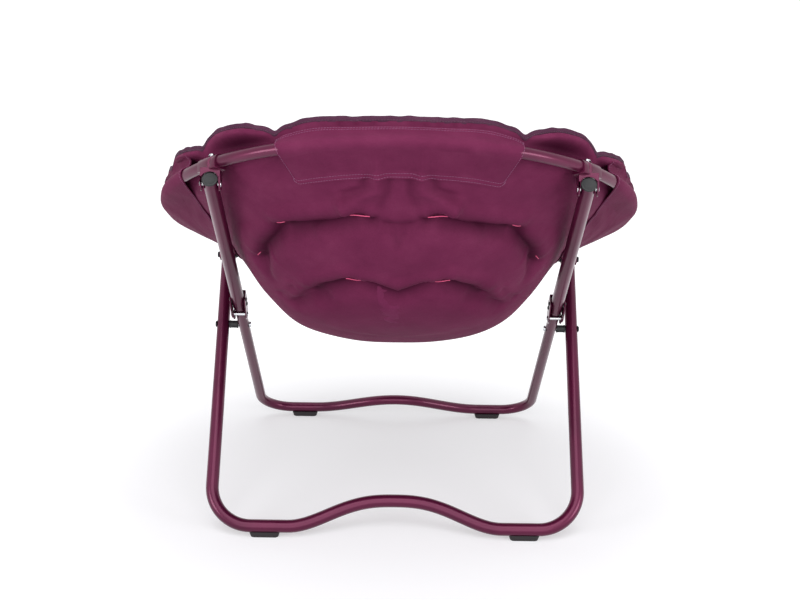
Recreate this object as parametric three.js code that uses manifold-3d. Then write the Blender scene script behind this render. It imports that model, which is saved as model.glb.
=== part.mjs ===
// A folding saucer chair: a padded bucket seat on a tilted steel hoop, carried by two crossing U legs.
// Millimetres, +Z up, the chair's front faces -Y, and the origin is on the floor under the middle.
import * as THREE from 'three';
import { mergeVertices } from 'three/addons/utils/BufferGeometryUtils.js';
import Module from 'manifold-3d';

const wasm = await Module();
wasm.setup();

// Hoop and seat
const hoopHalfWidth = 430; // to the middle of the tube
const hoopHalfLength = 438;
const hoopTubeRadius = 10;
const hoopWall = 1.2;
const hoopTilt = 28.3; // degrees
const hoopJointGap = 0.6;
const joinerLength = 60;
const pivotDrop = 34; // leg and strut pivots under the middle of the hoop tube
const seatInset = 10; // seat's side inside the middle of the hoop tube
const hoopPastRim = 8; // hoop past the rim at its front and rear
const seatDepth = 232; // hoop's plane to the lowest cloth

// Legs
const rearTubeRadius = 12.5;
const frontTubeRadius = 11;
const legWall = 1.2;
const rearLegInset = 77; // middle of a rear leg inside the hoop's widest place
const spacerLength = 18.5; // between a rear leg and a front leg
const rearHalfWidth = hoopHalfWidth - rearLegInset; // middle of the chair to the middle of a rear leg
const frontHalfWidth = rearHalfWidth - rearTubeRadius - spacerLength - frontTubeRadius;
const footSpread = 585; // rear foot bar to front foot bar, along the floor
const barHeight = 20; // middle of both foot bars above the floor
const crossingRise = 315.4; // crossing bolt above the foot bars
const crossingReach = 263.3; // crossing bolt forward of the rear foot bar
const rearCornerRadius = 78;
const frontCornerRadius = 70;
const rearWaveHalfWidth = rearHalfWidth - 148; // half of the raised part of a foot bar
const frontWaveHalfWidth = frontHalfWidth - 119;
const waveRise = 52;
const rearWavePower = 1.3; // above 1 the wave is fuller in the middle
const frontWavePower = 1;
const legTopPast = 11; // rear leg past its top pivot

// Struts and elbows
const strutRadius = 12.5;
const strutWall = 1.2;
const strutTopPast = 12; // strut past its top pivot
const elbowPastCrossing = 75.4; // elbow pin beyond the crossing bolt, along the front leg
const elbowOffset = 13; // elbow pin behind the middle of the tubes
const strutEndGap = 10; // strut end above the pin
const legEndGap = 6; // front leg end below the pin
const elbowPinRadius = 3;

// Clearances
const touch = 0.3; // between faces that meet
const boltClearance = 0.3; // around every bolt, pin and rivet
const overrun = 2; // cutters past the faces they cut

// Sides of round pieces
const tubeSides = 10;
const hoopSides = 8;
const plugSides = 14;
const grooveSides = 12;
const flatShare = Math.cos(Math.PI / tubeSides); // middle of a flat of a tube, as a share of its radius
const boltSides = 10;
const fullTurn = 360; // degrees
const halfTurn = fullTurn / 2;
const deg = Math.PI / halfTurn;

// Side view: points are (y, z), with y growing towards the rear.
const at = (y, z) => new THREE.Vector2(y, z);
const rearBar = at(0, barHeight);
const frontBar = at(-footSpread, barHeight);
const crossing = at(-crossingReach, barHeight + crossingRise);
const rearUp = crossing.clone().sub(rearBar).normalize();
const frontUp = crossing.clone().sub(frontBar).normalize();
const tilt = hoopTilt * deg;
const hoopBack = at(Math.cos(tilt), Math.sin(tilt)); // in the hoop's plane, towards the rear
const hoopUp = at(-Math.sin(tilt), Math.cos(tilt)); // square to the hoop's plane
const bracketBack = hoopHalfLength * Math.sqrt(1 - (frontHalfWidth / hoopHalfWidth) ** 2);
const bracketFront = hoopHalfLength * Math.sqrt(1 - (rearHalfWidth / hoopHalfWidth) ** 2);

// The hoop is as high as it must be for its front brackets to lie on the rear legs' line
// and its rear brackets on the struts' line.
const bracketSpan = hoopBack.clone().multiplyScalar(-(bracketFront + bracketBack));
const gapToClose = bracketSpan.sub(rearBar.clone().sub(frontBar));
const rearLegToPivot = gapToClose.cross(frontUp) / rearUp.cross(frontUp);
const frontPivot = rearBar.clone().addScaledVector(rearUp, rearLegToPivot);
const alongHoop = (from, back, up) => (
  from.clone().addScaledVector(hoopBack, back).addScaledVector(hoopUp, up)
);
const hoopCentre = alongHoop(frontPivot, bracketFront, pivotDrop);
const rearPivot = alongHoop(hoopCentre, bracketBack, -pivotDrop);
const frontLegToCrossing = crossing.distanceTo(frontBar);
const rearLegToCrossing = crossing.distanceTo(rearBar);
const frontLegToElbow = frontLegToCrossing + elbowPastCrossing;
const frontLegToRearPivot = rearPivot.distanceTo(frontBar);

// Solids
function toSolid(geometry) {
  const bare = new THREE.BufferGeometry();
  bare.setAttribute('position', geometry.getAttribute('position'));
  if (geometry.index) bare.setIndex(geometry.index);
  const merged = mergeVertices(bare.index ? bare.toNonIndexed() : bare, 1e-3);
  return new wasm.Manifold(new wasm.Mesh({
    numProp: 3,
    vertProperties: new Float32Array(merged.attributes.position.array),
    triVerts: new Uint32Array(merged.index.array),
  }));
}

function toGeometry(solid) {
  const mesh = solid.getMesh();
  const geometry = new THREE.BufferGeometry();
  geometry.setAttribute('position', new THREE.BufferAttribute(new Float32Array(mesh.vertProperties), 3));
  geometry.setIndex(new THREE.BufferAttribute(new Uint32Array(mesh.triVerts), 1));
  return geometry;
}

function cut(body, ...tools) {
  return toGeometry(tools.reduce((left, tool) => left.subtract(toSolid(tool)), toSolid(body)));
}

function join(first, ...others) {
  return toGeometry(others.reduce((all, piece) => all.add(toSolid(piece)), toSolid(first)));
}

// A rod across the chair, from x0 to x1.
function rodAcross(radius, x0, x1, y, z, sides = boltSides) {
  const rod = new THREE.CylinderGeometry(radius, radius, Math.abs(x1 - x0), sides);
  return rod.rotateZ(Math.PI / 2).translate((x0 + x1) / 2, y, z);
}

function rodUp(radius, z0, z1, x, y, sides = boltSides) {
  const rod = new THREE.CylinderGeometry(radius, radius, z1 - z0, sides);
  return rod.rotateX(Math.PI / 2).translate(x, y, (z0 + z1) / 2);
}

// The outline of a rounded head, from its bearing face outwards, as (distance, radius).
const headShares = [[0, 1], [0.55, 0.9], [1, 0.5], [1, 0]];
const head = (face, radius, height) => headShares.map(([out, wide]) => [face + out * height, wide * radius]);

// The same outline from the other end.
const turnedOver = (profile) => profile.map(([along, radius]) => [-along, radius]).reverse();

// A pin with a head at each end, as (distance from its middle, radius).
function headedPin(half, radius, headRadius, headHeight) {
  const end = [[half, radius], ...head(half, headRadius, headHeight)];
  return [...turnedOver(end), ...end];
}

// A profile turned about the X axis; the points are (distance along X, radius).
function turnedAcross(points, x, y, z, side) {
  const profile = points.map(([along, radius]) => new THREE.Vector2(radius, along));
  const turned = new THREE.LatheGeometry(profile, boltSides);
  return turned.rotateZ(side > 0 ? -Math.PI / 2 : Math.PI / 2).translate(x, y, z);
}

// A path whose stations are the given points, so that straight runs need only two.
class StationPath extends THREE.Curve {
  constructor(points) {
    super();
    this.points = points;
  }

  getPoint(t) {
    const last = this.points.length - 1;
    const place = Math.min(Math.max(t, 0), 1) * last;
    const i = Math.min(Math.floor(place), last - 1);
    return this.points[i].clone().lerp(this.points[i + 1], place - i);
  }

  getPointAt(u) {
    return this.getPoint(u);
  }

  getTangentAt(u) {
    return this.getTangent(u);
  }
}

function ring(outerRadius, innerRadius) {
  const shape = new THREE.Shape().absarc(0, 0, outerRadius, 0, 2 * Math.PI);
  if (innerRadius) shape.holes.push(new THREE.Path().absarc(0, 0, innerRadius, 0, 2 * Math.PI, true));
  return shape;
}

function tubeAlong(points, radius, wall, sides = tubeSides) {
  return new THREE.ExtrudeGeometry(ring(radius, wall ? radius - wall : 0), {
    steps: points.length - 1,
    curveSegments: sides / 2,
    extrudePath: new StationPath(points),
    bevelEnabled: false,
  });
}

function straightTube(radius, wall, z0, z1, x, sides = tubeSides) {
  const tube = new THREE.ExtrudeGeometry(ring(radius, wall ? radius - wall : 0), {
    steps: 1,
    curveSegments: sides / 2,
    depth: z1 - z0,
    bevelEnabled: false,
  });
  return tube.translate(x, 0, z0);
}

// A flat plate square to X, from an outline in (y, z), between x0 and x1.
function plateAcross(outline, x0, x1, segments = 5) {
  const plate = new THREE.ExtrudeGeometry(outline, {
    depth: Math.abs(x1 - x0),
    steps: 1,
    curveSegments: segments,
    bevelEnabled: false,
  });
  const turn = new THREE.Matrix4().makeBasis(
    new THREE.Vector3(0, 1, 0),
    new THREE.Vector3(0, 0, 1),
    new THREE.Vector3(1, 0, 0),
  );
  return plate.applyMatrix4(turn).translate(Math.min(x0, x1), 0, 0);
}

function block(x0, x1, y0, y1, z0, z1) {
  const box = new THREE.BoxGeometry(Math.abs(x1 - x0), Math.abs(y1 - y0), Math.abs(z1 - z0));
  return box.translate((x0 + x1) / 2, (y0 + y1) / 2, (z0 + z1) / 2);
}

// A closed solid between two surfaces over one grid of values.
// With round = true the last column joins the first.
function slab(columnValues, rowValues, inner, outer, round = false) {
  const position = [];
  const index = [];
  const columns = columnValues.length - 1;
  const rows = rowValues.length - 1;
  const across = round ? columns : columns + 1;
  for (const surface of [inner, outer]) {
    for (let i = 0; i < across; i++) {
      for (let j = 0; j <= rows; j++) position.push(...surface(columnValues[i], rowValues[j]).toArray());
    }
  }
  const side = across * (rows + 1);
  const vertex = (layer, i, j) => layer * side + (i % across) * (rows + 1) + j;
  const quad = (a, b, c, d) => index.push(a, b, c, a, c, d);
  for (let i = 0; i < columns; i++) {
    for (let j = 0; j < rows; j++) {
      quad(vertex(0, i, j), vertex(0, i + 1, j), vertex(0, i + 1, j + 1), vertex(0, i, j + 1));
      quad(vertex(1, i, j), vertex(1, i, j + 1), vertex(1, i + 1, j + 1), vertex(1, i + 1, j));
    }
    quad(vertex(0, i, 0), vertex(1, i, 0), vertex(1, i + 1, 0), vertex(0, i + 1, 0));
    quad(vertex(0, i + 1, rows), vertex(1, i + 1, rows), vertex(1, i, rows), vertex(0, i, rows));
  }
  if (!round) {
    for (let j = 0; j < rows; j++) {
      quad(vertex(0, 0, j + 1), vertex(1, 0, j + 1), vertex(1, 0, j), vertex(0, 0, j));
      quad(
        vertex(0, columns, j), vertex(1, columns, j),
        vertex(1, columns, j + 1), vertex(0, columns, j + 1),
      );
    }
  }
  return facingOut(position, index);
}

// Merges equal corners, drops triangles with no area and turns the faces outwards.
function facingOut(position, index) {
  const loose = new THREE.BufferGeometry();
  loose.setAttribute('position', new THREE.Float32BufferAttribute(position, 3));
  loose.setIndex(index);
  const merged = mergeVertices(loose, 1e-3);
  const corners = merged.index.array;
  const point = (i) => new THREE.Vector3().fromBufferAttribute(merged.attributes.position, i);
  const kept = [];
  let volume = 0;
  for (let i = 0; i < corners.length; i += 3) {
    const [a, b, c] = [corners[i], corners[i + 1], corners[i + 2]];
    if (a === b || b === c || a === c) continue;
    kept.push([a, b, c]);
    volume += point(a).dot(point(b).cross(point(c)));
  }
  merged.setIndex(kept.flatMap(([a, b, c]) => (volume < 0 ? [a, c, b] : [a, b, c])));
  return merged;
}

// Finishes
const finish = (color, roughness, metalness) => (
  new THREE.MeshStandardMaterial({ color, roughness, metalness })
);
const plumPaint = finish('#5b2140', 0.3, 0.6);
const blackPlastic = finish('#2c3033', 0.6, 0);
const brightSteel = finish('#c9ccd0', 0.25, 1);
const blackSteel = finish('#26282b', 0.4, 0.8);
const plumCloth = finish('#5e2544', 0.85, 0);
const darkBinding = finish('#463a44', 0.8, 0);

// Frames: Z of a leg frame runs up the leg from the middle of its foot bar,
// and the seat frame lies in the hoop's plane with Y to the rear.
const chair = new THREE.Group();
const rearFrame = new THREE.Group();
const frontFrame = new THREE.Group();
const seatFrame = new THREE.Group();
rearFrame.position.set(0, rearBar.x, rearBar.y);
rearFrame.rotation.x = Math.atan2(-rearUp.x, rearUp.y);
frontFrame.position.set(0, frontBar.x, frontBar.y);
frontFrame.rotation.x = Math.atan2(-frontUp.x, frontUp.y);
seatFrame.position.set(0, hoopCentre.x, hoopCentre.y);
seatFrame.rotation.x = tilt;
chair.add(rearFrame, frontFrame, seatFrame);

function add(frame, name, geometry, material) {
  const mesh = new THREE.Mesh(geometry, material);
  mesh.name = name;
  frame.add(mesh);
}

const sides = [['left', -1], ['right', 1]];

// Each U leg is one bent tube whose foot bar rises in a wave in the middle.
const cornerSteps = 4;
const waveSteps = 12;

function legPoints(half, cornerRadius, waveHalfWidth, wavePower, top) {
  const halfPath = [new THREE.Vector3(-half, 0, top)];
  for (let i = 0; i <= cornerSteps; i++) {
    const turn = (i / cornerSteps) * (Math.PI / 2);
    const x = -half + cornerRadius * (1 - Math.cos(turn));
    halfPath.push(new THREE.Vector3(x, 0, cornerRadius * (1 - Math.sin(turn))));
  }
  const wave = [];
  for (let i = 0; i <= waveSteps; i++) {
    const share = 2 * i / waveSteps - 1;
    const fall = Math.PI * Math.abs(share) ** wavePower;
    wave.push(new THREE.Vector3(waveHalfWidth * share, 0, waveRise * (1 + Math.cos(fall)) / 2));
  }
  const mirrored = halfPath.map((p) => new THREE.Vector3(-p.x, p.y, p.z)).reverse();
  return [...halfPath, ...wave, ...mirrored];
}

const boltRadius = 4;
const boltHole = boltRadius + boltClearance;
const rearLegTop = rearLegToPivot + legTopPast;
const frontLegTop = frontLegToElbow - legEndGap;
const strutBottom = frontLegToElbow + strutEndGap;
const strutTop = frontLegToRearPivot + strutTopPast;
const rivetRadius = 2.5;
const rivetHole = rivetRadius + boltClearance;
const rearPivotRadius = 3.5;
const rearPivotHole = rearPivotRadius + boltClearance;

// Elbow channels: the upper one holds the strut, and the lower one fits inside it.
const lowerRivets = [20].map((below) => frontLegToElbow - below);
const upperRivets = [20, 39].map((above) => frontLegToElbow + above);
const upperChannelLength = 50;
const lowerChannelLength = 30;
const lowerChannelInside = frontTubeRadius + touch;
const lowerChannelWall = 1.25;
const lowerChannelOutside = lowerChannelInside + lowerChannelWall;
const upperChannelInside = Math.max(strutRadius, lowerChannelOutside) + touch;
const upperChannelWall = 2;
const upperChannelOutside = upperChannelInside + upperChannelWall;
const channelHalfDepth = 9;
const channelShoulder = 4; // where the eye's edge starts, past the end of the tube
const upperEyeRadius = 8;
const lowerEyeRadius = 7.5;

function bothSides(half, make) {
  return sides.map(([, side]) => make(side * half, side));
}

const rearLegHoles = bothSides(rearHalfWidth, (x) => [
  rodAcross(boltHole, x - rearTubeRadius - overrun, x + rearTubeRadius + overrun, 0, rearLegToPivot),
  rodAcross(boltHole, x - rearTubeRadius - overrun, x + rearTubeRadius + overrun, 0, rearLegToCrossing),
]).flat();
const rearLegPath = legPoints(
  rearHalfWidth, rearCornerRadius, rearWaveHalfWidth, rearWavePower, rearLegTop,
);
const rearLegTube = tubeAlong(rearLegPath, rearTubeRadius, legWall);
add(rearFrame, 'rear_leg_tube', cut(rearLegTube, ...rearLegHoles), plumPaint);

const frontLegHoles = bothSides(frontHalfWidth, (x) => [
  rodAcross(boltHole, x - frontTubeRadius - overrun, x + frontTubeRadius + overrun, 0, frontLegToCrossing),
  ...lowerRivets.map((z) => (
    rodAcross(rivetHole, x - frontTubeRadius - overrun, x + frontTubeRadius + overrun, 0, z)
  )),
]).flat();
const frontLegPath = legPoints(
  frontHalfWidth, frontCornerRadius, frontWaveHalfWidth, frontWavePower, frontLegTop,
);
const frontLegTube = tubeAlong(frontLegPath, frontTubeRadius, legWall);
add(frontFrame, 'front_leg_tube', cut(frontLegTube, ...frontLegHoles), plumPaint);

// Feet: plastic saddles under the foot bars.
const footLength = 60;
const footHalfDepth = 13;
const rearFootX = rearHalfWidth - 105;
const frontFootX = frontHalfWidth - 98;
const footHeight = 17; // how far up the bar the foot's sides reach

function footPad(x, tubeRadius) {
  const grip = tubeRadius + touch;
  const rise = footHeight - barHeight;
  const reach = Math.acos(-rise / grip);
  const outline = new THREE.Shape();
  outline.moveTo(-footHalfDepth, -barHeight);
  outline.lineTo(footHalfDepth, -barHeight);
  outline.lineTo(footHalfDepth + touch, rise);
  outline.lineTo(grip * Math.sin(reach), rise);
  outline.absarc(0, 0, grip, reach - Math.PI / 2, -reach - Math.PI / 2, true);
  outline.lineTo(-footHalfDepth - touch, rise);
  return plateAcross(outline, x - footLength / 2, x + footLength / 2, grooveSides);
}

for (const [word, side] of sides) {
  const rearFoot = footPad(side * rearFootX, rearTubeRadius).translate(0, rearBar.x, rearBar.y);
  add(chair, `rear_foot_${word}`, rearFoot, blackPlastic);
  const frontFoot = footPad(side * frontFootX, frontTubeRadius).translate(0, frontBar.x, frontBar.y);
  add(chair, `front_foot_${word}`, frontFoot, blackPlastic);
}

// A plug that stops a tube: its neck goes in, and its lip covers the end.
const lipShares = [[0, 1], [0.6, 1], [1, 0.75], [1, 0]];

function endPlug(bore, lipRadius, depth, lip, x, tubeTop) {
  const neck = bore * flatShare - touch;
  const lipPoints = lipShares.map(([up, wide]) => [depth + up * lip, wide * lipRadius]);
  const profile = [[0, 0], [0, neck], [depth, neck], ...lipPoints];
  const turned = new THREE.LatheGeometry(profile.map(([z, radius]) => at(radius, z)), plugSides);
  return turned.rotateX(Math.PI / 2).translate(x, 0, tubeTop + touch - depth);
}

// Struts with their plastic end caps, and plugs in the tops of the rear legs.
const capRadius = 13.3;
const capLip = 4;
const capDepth = 6;
const plugLip = 2;
const plugDepth = 4;
for (const [word, side] of sides) {
  const x = side * frontHalfWidth;
  const strutHoles = [
    rodAcross(rearPivotHole, x - strutRadius - overrun, x + strutRadius + overrun, 0, frontLegToRearPivot),
    ...upperRivets.map((z) => (
      rodAcross(rivetHole, x - strutRadius - overrun, x + strutRadius + overrun, 0, z)
    )),
  ];
  const strut = cut(straightTube(strutRadius, strutWall, strutBottom, strutTop, x), ...strutHoles);
  add(frontFrame, `strut_tube_${word}`, strut, plumPaint);
  const cap = endPlug(strutRadius - strutWall, capRadius, capDepth, capLip, x, strutTop);
  add(frontFrame, `strut_end_cap_${word}`, cap, blackPlastic);
  const legBore = rearTubeRadius - legWall;
  const plug = endPlug(legBore, rearTubeRadius, plugDepth, plugLip, side * rearHalfWidth, rearLegTop);
  add(rearFrame, `leg_top_plug_${word}`, plug, blackPlastic);
}

// Elbow channels. The outlines run from the eye round the pin to the far end of the channel.
function channelOutline(eyeRadius, length, start, way) {
  const pinZ = frontLegToElbow;
  const outline = new THREE.Shape();
  outline.moveTo(-channelHalfDepth, pinZ + way * length);
  outline.lineTo(channelHalfDepth, pinZ + way * length);
  outline.lineTo(elbowOffset + eyeRadius, pinZ + way * (start + channelShoulder));
  outline.absarc(elbowOffset, pinZ, eyeRadius, 0, -way * Math.PI, way > 0);
  outline.lineTo(-channelHalfDepth, pinZ + way * start);
  return outline;
}

function elbowChannel(x, inside, outside, eyeRadius, length, start, way, rivets) {
  const outline = channelOutline(eyeRadius, length, start, way);
  const cheeks = [-1, 1].map((k) => plateAcross(outline, x + k * inside, x + k * outside));
  const near = frontLegToElbow + way * (start + overrun);
  const far = frontLegToElbow + way * length;
  const web = block(x - outside, x + outside, -outside, -inside, near, far);
  const webSides = [-1, 1].map((k) => (
    block(x + k * inside, x + k * outside, -inside - touch, -channelHalfDepth + touch, near, far)
  ));
  const holes = rivets.map((z) => rodAcross(rivetHole, x - outside - overrun, x + outside + overrun, 0, z));
  const holeHalf = outside + overrun;
  const pinHoleRadius = elbowPinRadius + boltClearance;
  const pinHole = rodAcross(pinHoleRadius, x - holeHalf, x + holeHalf, elbowOffset, frontLegToElbow);
  return cut(join(cheeks[0], web, ...webSides, cheeks[1]), ...holes, pinHole);
}

// Pins and upper rivets have round heads; the lower rivets are flush so that the channels can pass.
const headHeight = 2;
const elbowPinHead = 5;
const rivetHead = 4.5;
const channelGrip = upperChannelOutside + touch;
for (const [word, side] of sides) {
  const x = side * frontHalfWidth;
  const upper = elbowChannel(
    x, upperChannelInside, upperChannelOutside, upperEyeRadius,
    upperChannelLength, strutEndGap, 1, upperRivets,
  );
  add(frontFrame, `elbow_upper_channel_${word}`, upper, plumPaint);
  const lower = elbowChannel(
    x, lowerChannelInside, lowerChannelOutside, lowerEyeRadius,
    lowerChannelLength, legEndGap, -1, lowerRivets,
  );
  add(frontFrame, `elbow_lower_channel_${word}`, lower, plumPaint);
  const pin = headedPin(channelGrip, elbowPinRadius, elbowPinHead, headHeight);
  add(frontFrame, `elbow_pin_${word}`, turnedAcross(pin, x, elbowOffset, frontLegToElbow, 1), brightSteel);
  upperRivets.forEach((z, i) => {
    const rivet = turnedAcross(headedPin(channelGrip, rivetRadius, rivetHead, headHeight), x, 0, z, 1);
    add(frontFrame, `elbow_upper_rivet_${word}_${i + 1}`, rivet, blackSteel);
  });
  lowerRivets.forEach((z) => {
    const rivet = rodAcross(rivetRadius, x - lowerChannelOutside, x + lowerChannelOutside, 0, z);
    add(frontFrame, `elbow_lower_rivet_${word}`, rivet, blackSteel);
  });
}

// The crossing: the bolt and spacer stay with the rear leg, and the bolt's end with the front leg.
const spacerRadius = 8;
const boltHead = 7.5;
const boltHeadHeight = 5;
for (const [word, side] of sides) {
  const inner = frontHalfWidth + frontTubeRadius + touch;
  const outer = rearHalfWidth - rearTubeRadius - touch;
  const spacer = cut(
    rodAcross(spacerRadius, side * inner, side * outer, 0, rearLegToCrossing, plugSides),
    rodAcross(boltHole, side * (inner - overrun), side * (outer + overrun), 0, rearLegToCrossing),
  );
  add(rearFrame, `crossing_spacer_${word}`, spacer, blackPlastic);

  const outerFace = rearHalfWidth + rearTubeRadius + touch;
  const shank = [[inner + touch, 0], [inner + touch, boltRadius], [outerFace, boltRadius]];
  const bolt = [...shank, ...head(outerFace, boltHead, boltHeadHeight)];
  add(rearFrame, `crossing_bolt_${word}`, turnedAcross(bolt, 0, 0, rearLegToCrossing, side), blackSteel);

  const innerFace = frontHalfWidth - frontTubeRadius - touch;
  const endShank = [[innerFace, boltRadius], [inner - touch, boltRadius], [inner - touch, 0]];
  const end = [...turnedOver(head(-innerFace, boltHead, boltHeadHeight)), ...endShank];
  const boltEnd = turnedAcross(end, 0, 0, frontLegToCrossing, side);
  add(frontFrame, `crossing_bolt_end_${word}`, boltEnd, brightSteel);
}

// Panels along the rim: name, where each starts in degrees from the rear, and its columns.
const rimPanels = [
  ['rim_pad_front_left', 220, 5], ['rim_pad_side_left', 260, 6], ['rim_pad_rear_left', 309.5, 3],
  ['rim_pad_rear', 332.2, 8], ['rim_pad_rear_right', 387.8, 3], ['rim_pad_side_right', 410.5, 6],
  ['rim_pad_front_right', 460, 5], ['rim_pad_front', 500, 10],
];
const rimPanelEnd = (k) => (rimPanels[k + 1] ? rimPanels[k + 1][1] : fullTurn + rimPanels[0][1]);
const stations = rimPanels.flatMap(([, start, columns], k) => (
  Array.from({ length: columns }, (_, i) => start + (rimPanelEnd(k) - start) * i / columns)
));
// The hoop, the shell and the padding all bend at these same angles.
const twoTurns = [...stations, ...stations.map((angle) => angle + fullTurn)];
const stationsBetween = (from, to) => twoTurns.filter((angle) => angle > from - 0.01 && angle < to + 0.01);
stations.push(fullTurn + stations[0]);

// Brackets under the hoop, in the seat frame.
const bracketWall = 2.5;
const bracketHalfDepth = 15;
const cheekEyeRadius = 12;
const webTop = -hoopTubeRadius - touch;
const hoopBore = hoopTubeRadius - hoopWall;

// The hoop: one tube bent round, with its two ends butted at the rear over a joiner inside.
const hoopPoint = (angle) => (
  new THREE.Vector3(hoopHalfWidth * Math.sin(angle * deg), hoopHalfLength * Math.cos(angle * deg), 0)
);
const jointAngle = hoopJointGap / 2 / hoopHalfWidth / deg;
const hoopAngles = stationsBetween(fullTurn, 2 * fullTurn);
hoopAngles[0] += jointAngle;
hoopAngles[hoopAngles.length - 1] -= jointAngle;
const hoopPath = hoopAngles.map(hoopPoint);
const hoopTube = tubeAlong(hoopPath, hoopTubeRadius, hoopWall, hoopSides);
const hoopCutter = tubeAlong(hoopPath, hoopTubeRadius + touch, 0, hoopSides);
const saddleBoltRadius = 3;
const saddleBoltHole = saddleBoltRadius + boltClearance;
const hoopHoles = bothSides(frontHalfWidth, (x) => (
  rodUp(saddleBoltHole, -hoopTubeRadius - overrun, hoopTubeRadius + overrun, x, bracketBack)
));
add(seatFrame, 'hoop_tube', cut(hoopTube, ...hoopHoles), plumPaint);
const joinerEnds = [hoopPath.at(-2), hoopPath[1]].map((end) => (
  hoopPoint(0).lerp(end, joinerLength / 2 / end.distanceTo(hoopPoint(0)))
));
const joinerPath = [joinerEnds[0], hoopPoint(0), joinerEnds[1]];
const joiner = tubeAlong(joinerPath, hoopBore - 2 * touch, hoopWall, hoopSides);
add(seatFrame, 'hoop_joiner', joiner, brightSteel);

function bracketCheek(y, x0, x1) {
  const outline = new THREE.Shape();
  outline.moveTo(y - bracketHalfDepth, webTop);
  outline.lineTo(y - bracketHalfDepth, webTop - bracketWall);
  outline.lineTo(y - cheekEyeRadius, -pivotDrop);
  outline.absarc(y, -pivotDrop, cheekEyeRadius, Math.PI, 2 * Math.PI, false);
  outline.lineTo(y + bracketHalfDepth, webTop - bracketWall);
  outline.lineTo(y + bracketHalfDepth, webTop);
  return plateAcross(outline, x0, x1);
}

function bracket(x, y, inside, pinHole) {
  const outside = inside + bracketWall;
  const cheeks = [-1, 1].map((k) => bracketCheek(y, x + k * inside, x + k * outside));
  const web = block(
    x - outside, x + outside,
    y - bracketHalfDepth, y + bracketHalfDepth,
    webTop - bracketWall, webTop,
  );
  const pin = rodAcross(pinHole, x - outside - overrun, x + outside + overrun, y, -pivotDrop);
  return cut(join(web, ...cheeks), pin);
}

// Front brackets, welded under the hoop, with the pivots of the rear legs.
const frontBracketInside = rearTubeRadius + 2 * touch;
const rearBracketInside = capRadius + 3 * touch;
const saddleLength = 48;
const saddleWall = 2;
for (const [word, side] of sides) {
  const x = side * rearHalfWidth;
  add(seatFrame, `front_bracket_${word}`, bracket(x, -bracketFront, frontBracketInside, boltHole), plumPaint);
  const bolt = headedPin(frontBracketInside + bracketWall + touch, boltRadius, boltHead, boltHeadHeight);
  const pivotBolt = turnedAcross(bolt, x, -bracketFront, -pivotDrop, side);
  add(seatFrame, `front_pivot_bolt_${word}`, pivotBolt, blackSteel);
}

// A plate bent over the hoop, with its sides reaching down to the web of the bracket.
function saddle(x, y) {
  const inner = hoopTubeRadius + touch;
  const outer = inner + saddleWall;
  const outline = new THREE.Shape();
  outline.moveTo(-webTop + bracketWall, outer);
  outline.lineTo(0, outer);
  outline.absarc(0, 0, outer, Math.PI / 2, 1.5 * Math.PI, false);
  outline.lineTo(-webTop + bracketWall, -outer);
  const middle = Math.atan2(x / hoopHalfWidth, y / hoopHalfLength) / deg;
  const half = saddleLength / 2 / hoopHalfWidth / deg;
  const path = new StationPath([middle - half, middle, middle + half].map(hoopPoint));
  return new THREE.ExtrudeGeometry(outline, {
    steps: 2,
    curveSegments: 6,
    extrudePath: path,
    bevelEnabled: false,
  });
}

// Rear clevises, bolted over the hoop, with the pivots of the struts.
const clevisLipWidth = 11.5;
const clevisLipHeight = 17;
const rearPivotHead = 6;
const saddleHead = 6;
const saddleHeadHeight = 3.5;
for (const [word, side] of sides) {
  const x = side * frontHalfWidth;
  const y = bracketBack;
  const lip = block(
    x - clevisLipWidth, x + clevisLipWidth,
    y + bracketHalfDepth - bracketWall, y + bracketHalfDepth,
    webTop - bracketWall, webTop - bracketWall + clevisLipHeight,
  );
  const whole = join(bracket(x, y, rearBracketInside, rearPivotHole), lip, saddle(x, y));
  const holeUnder = webTop - bracketWall - overrun;
  const boltHoleUp = rodUp(saddleBoltHole, holeUnder, -webTop + saddleWall + overrun, x, y);
  add(seatFrame, `rear_clevis_${word}`, cut(whole, hoopCutter, boltHoleUp), plumPaint);

  const top = hoopTubeRadius + saddleWall + 3 * touch;
  const under = webTop - bracketWall - touch;
  const lowerHead = turnedOver(head(-under, saddleHead, saddleHeadHeight));
  const shank = [[under, saddleBoltRadius], [top, saddleBoltRadius]];
  const boltProfile = [...lowerHead, ...shank, ...head(top, saddleHead, saddleHeadHeight)];
  const bolt = new THREE.LatheGeometry(boltProfile.map(([z, radius]) => at(radius, z)), boltSides);
  add(seatFrame, `saddle_bolt_${word}`, bolt.rotateX(Math.PI / 2).translate(x, y, 0), brightSteel);

  const rivetHalf = rearBracketInside + bracketWall + touch;
  const rivet = headedPin(rivetHalf, rearPivotRadius, rearPivotHead, headHeight);
  add(seatFrame, `rear_pivot_rivet_${word}`, turnedAcross(rivet, x, y, -pivotDrop, side), brightSteel);
}

// The seat. Its section runs from the middle (0) to the rim (1), at an angle round the hoop from the rear.
const seatRadius = hoopHalfWidth - seatInset;
const rimRadius = hoopHalfWidth;
const seatLengthShare = (hoopHalfLength - hoopPastRim) / rimRadius; // its length as a share of its width
const seatForward = 43; // the lowest place is this far forward of the middle
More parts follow.
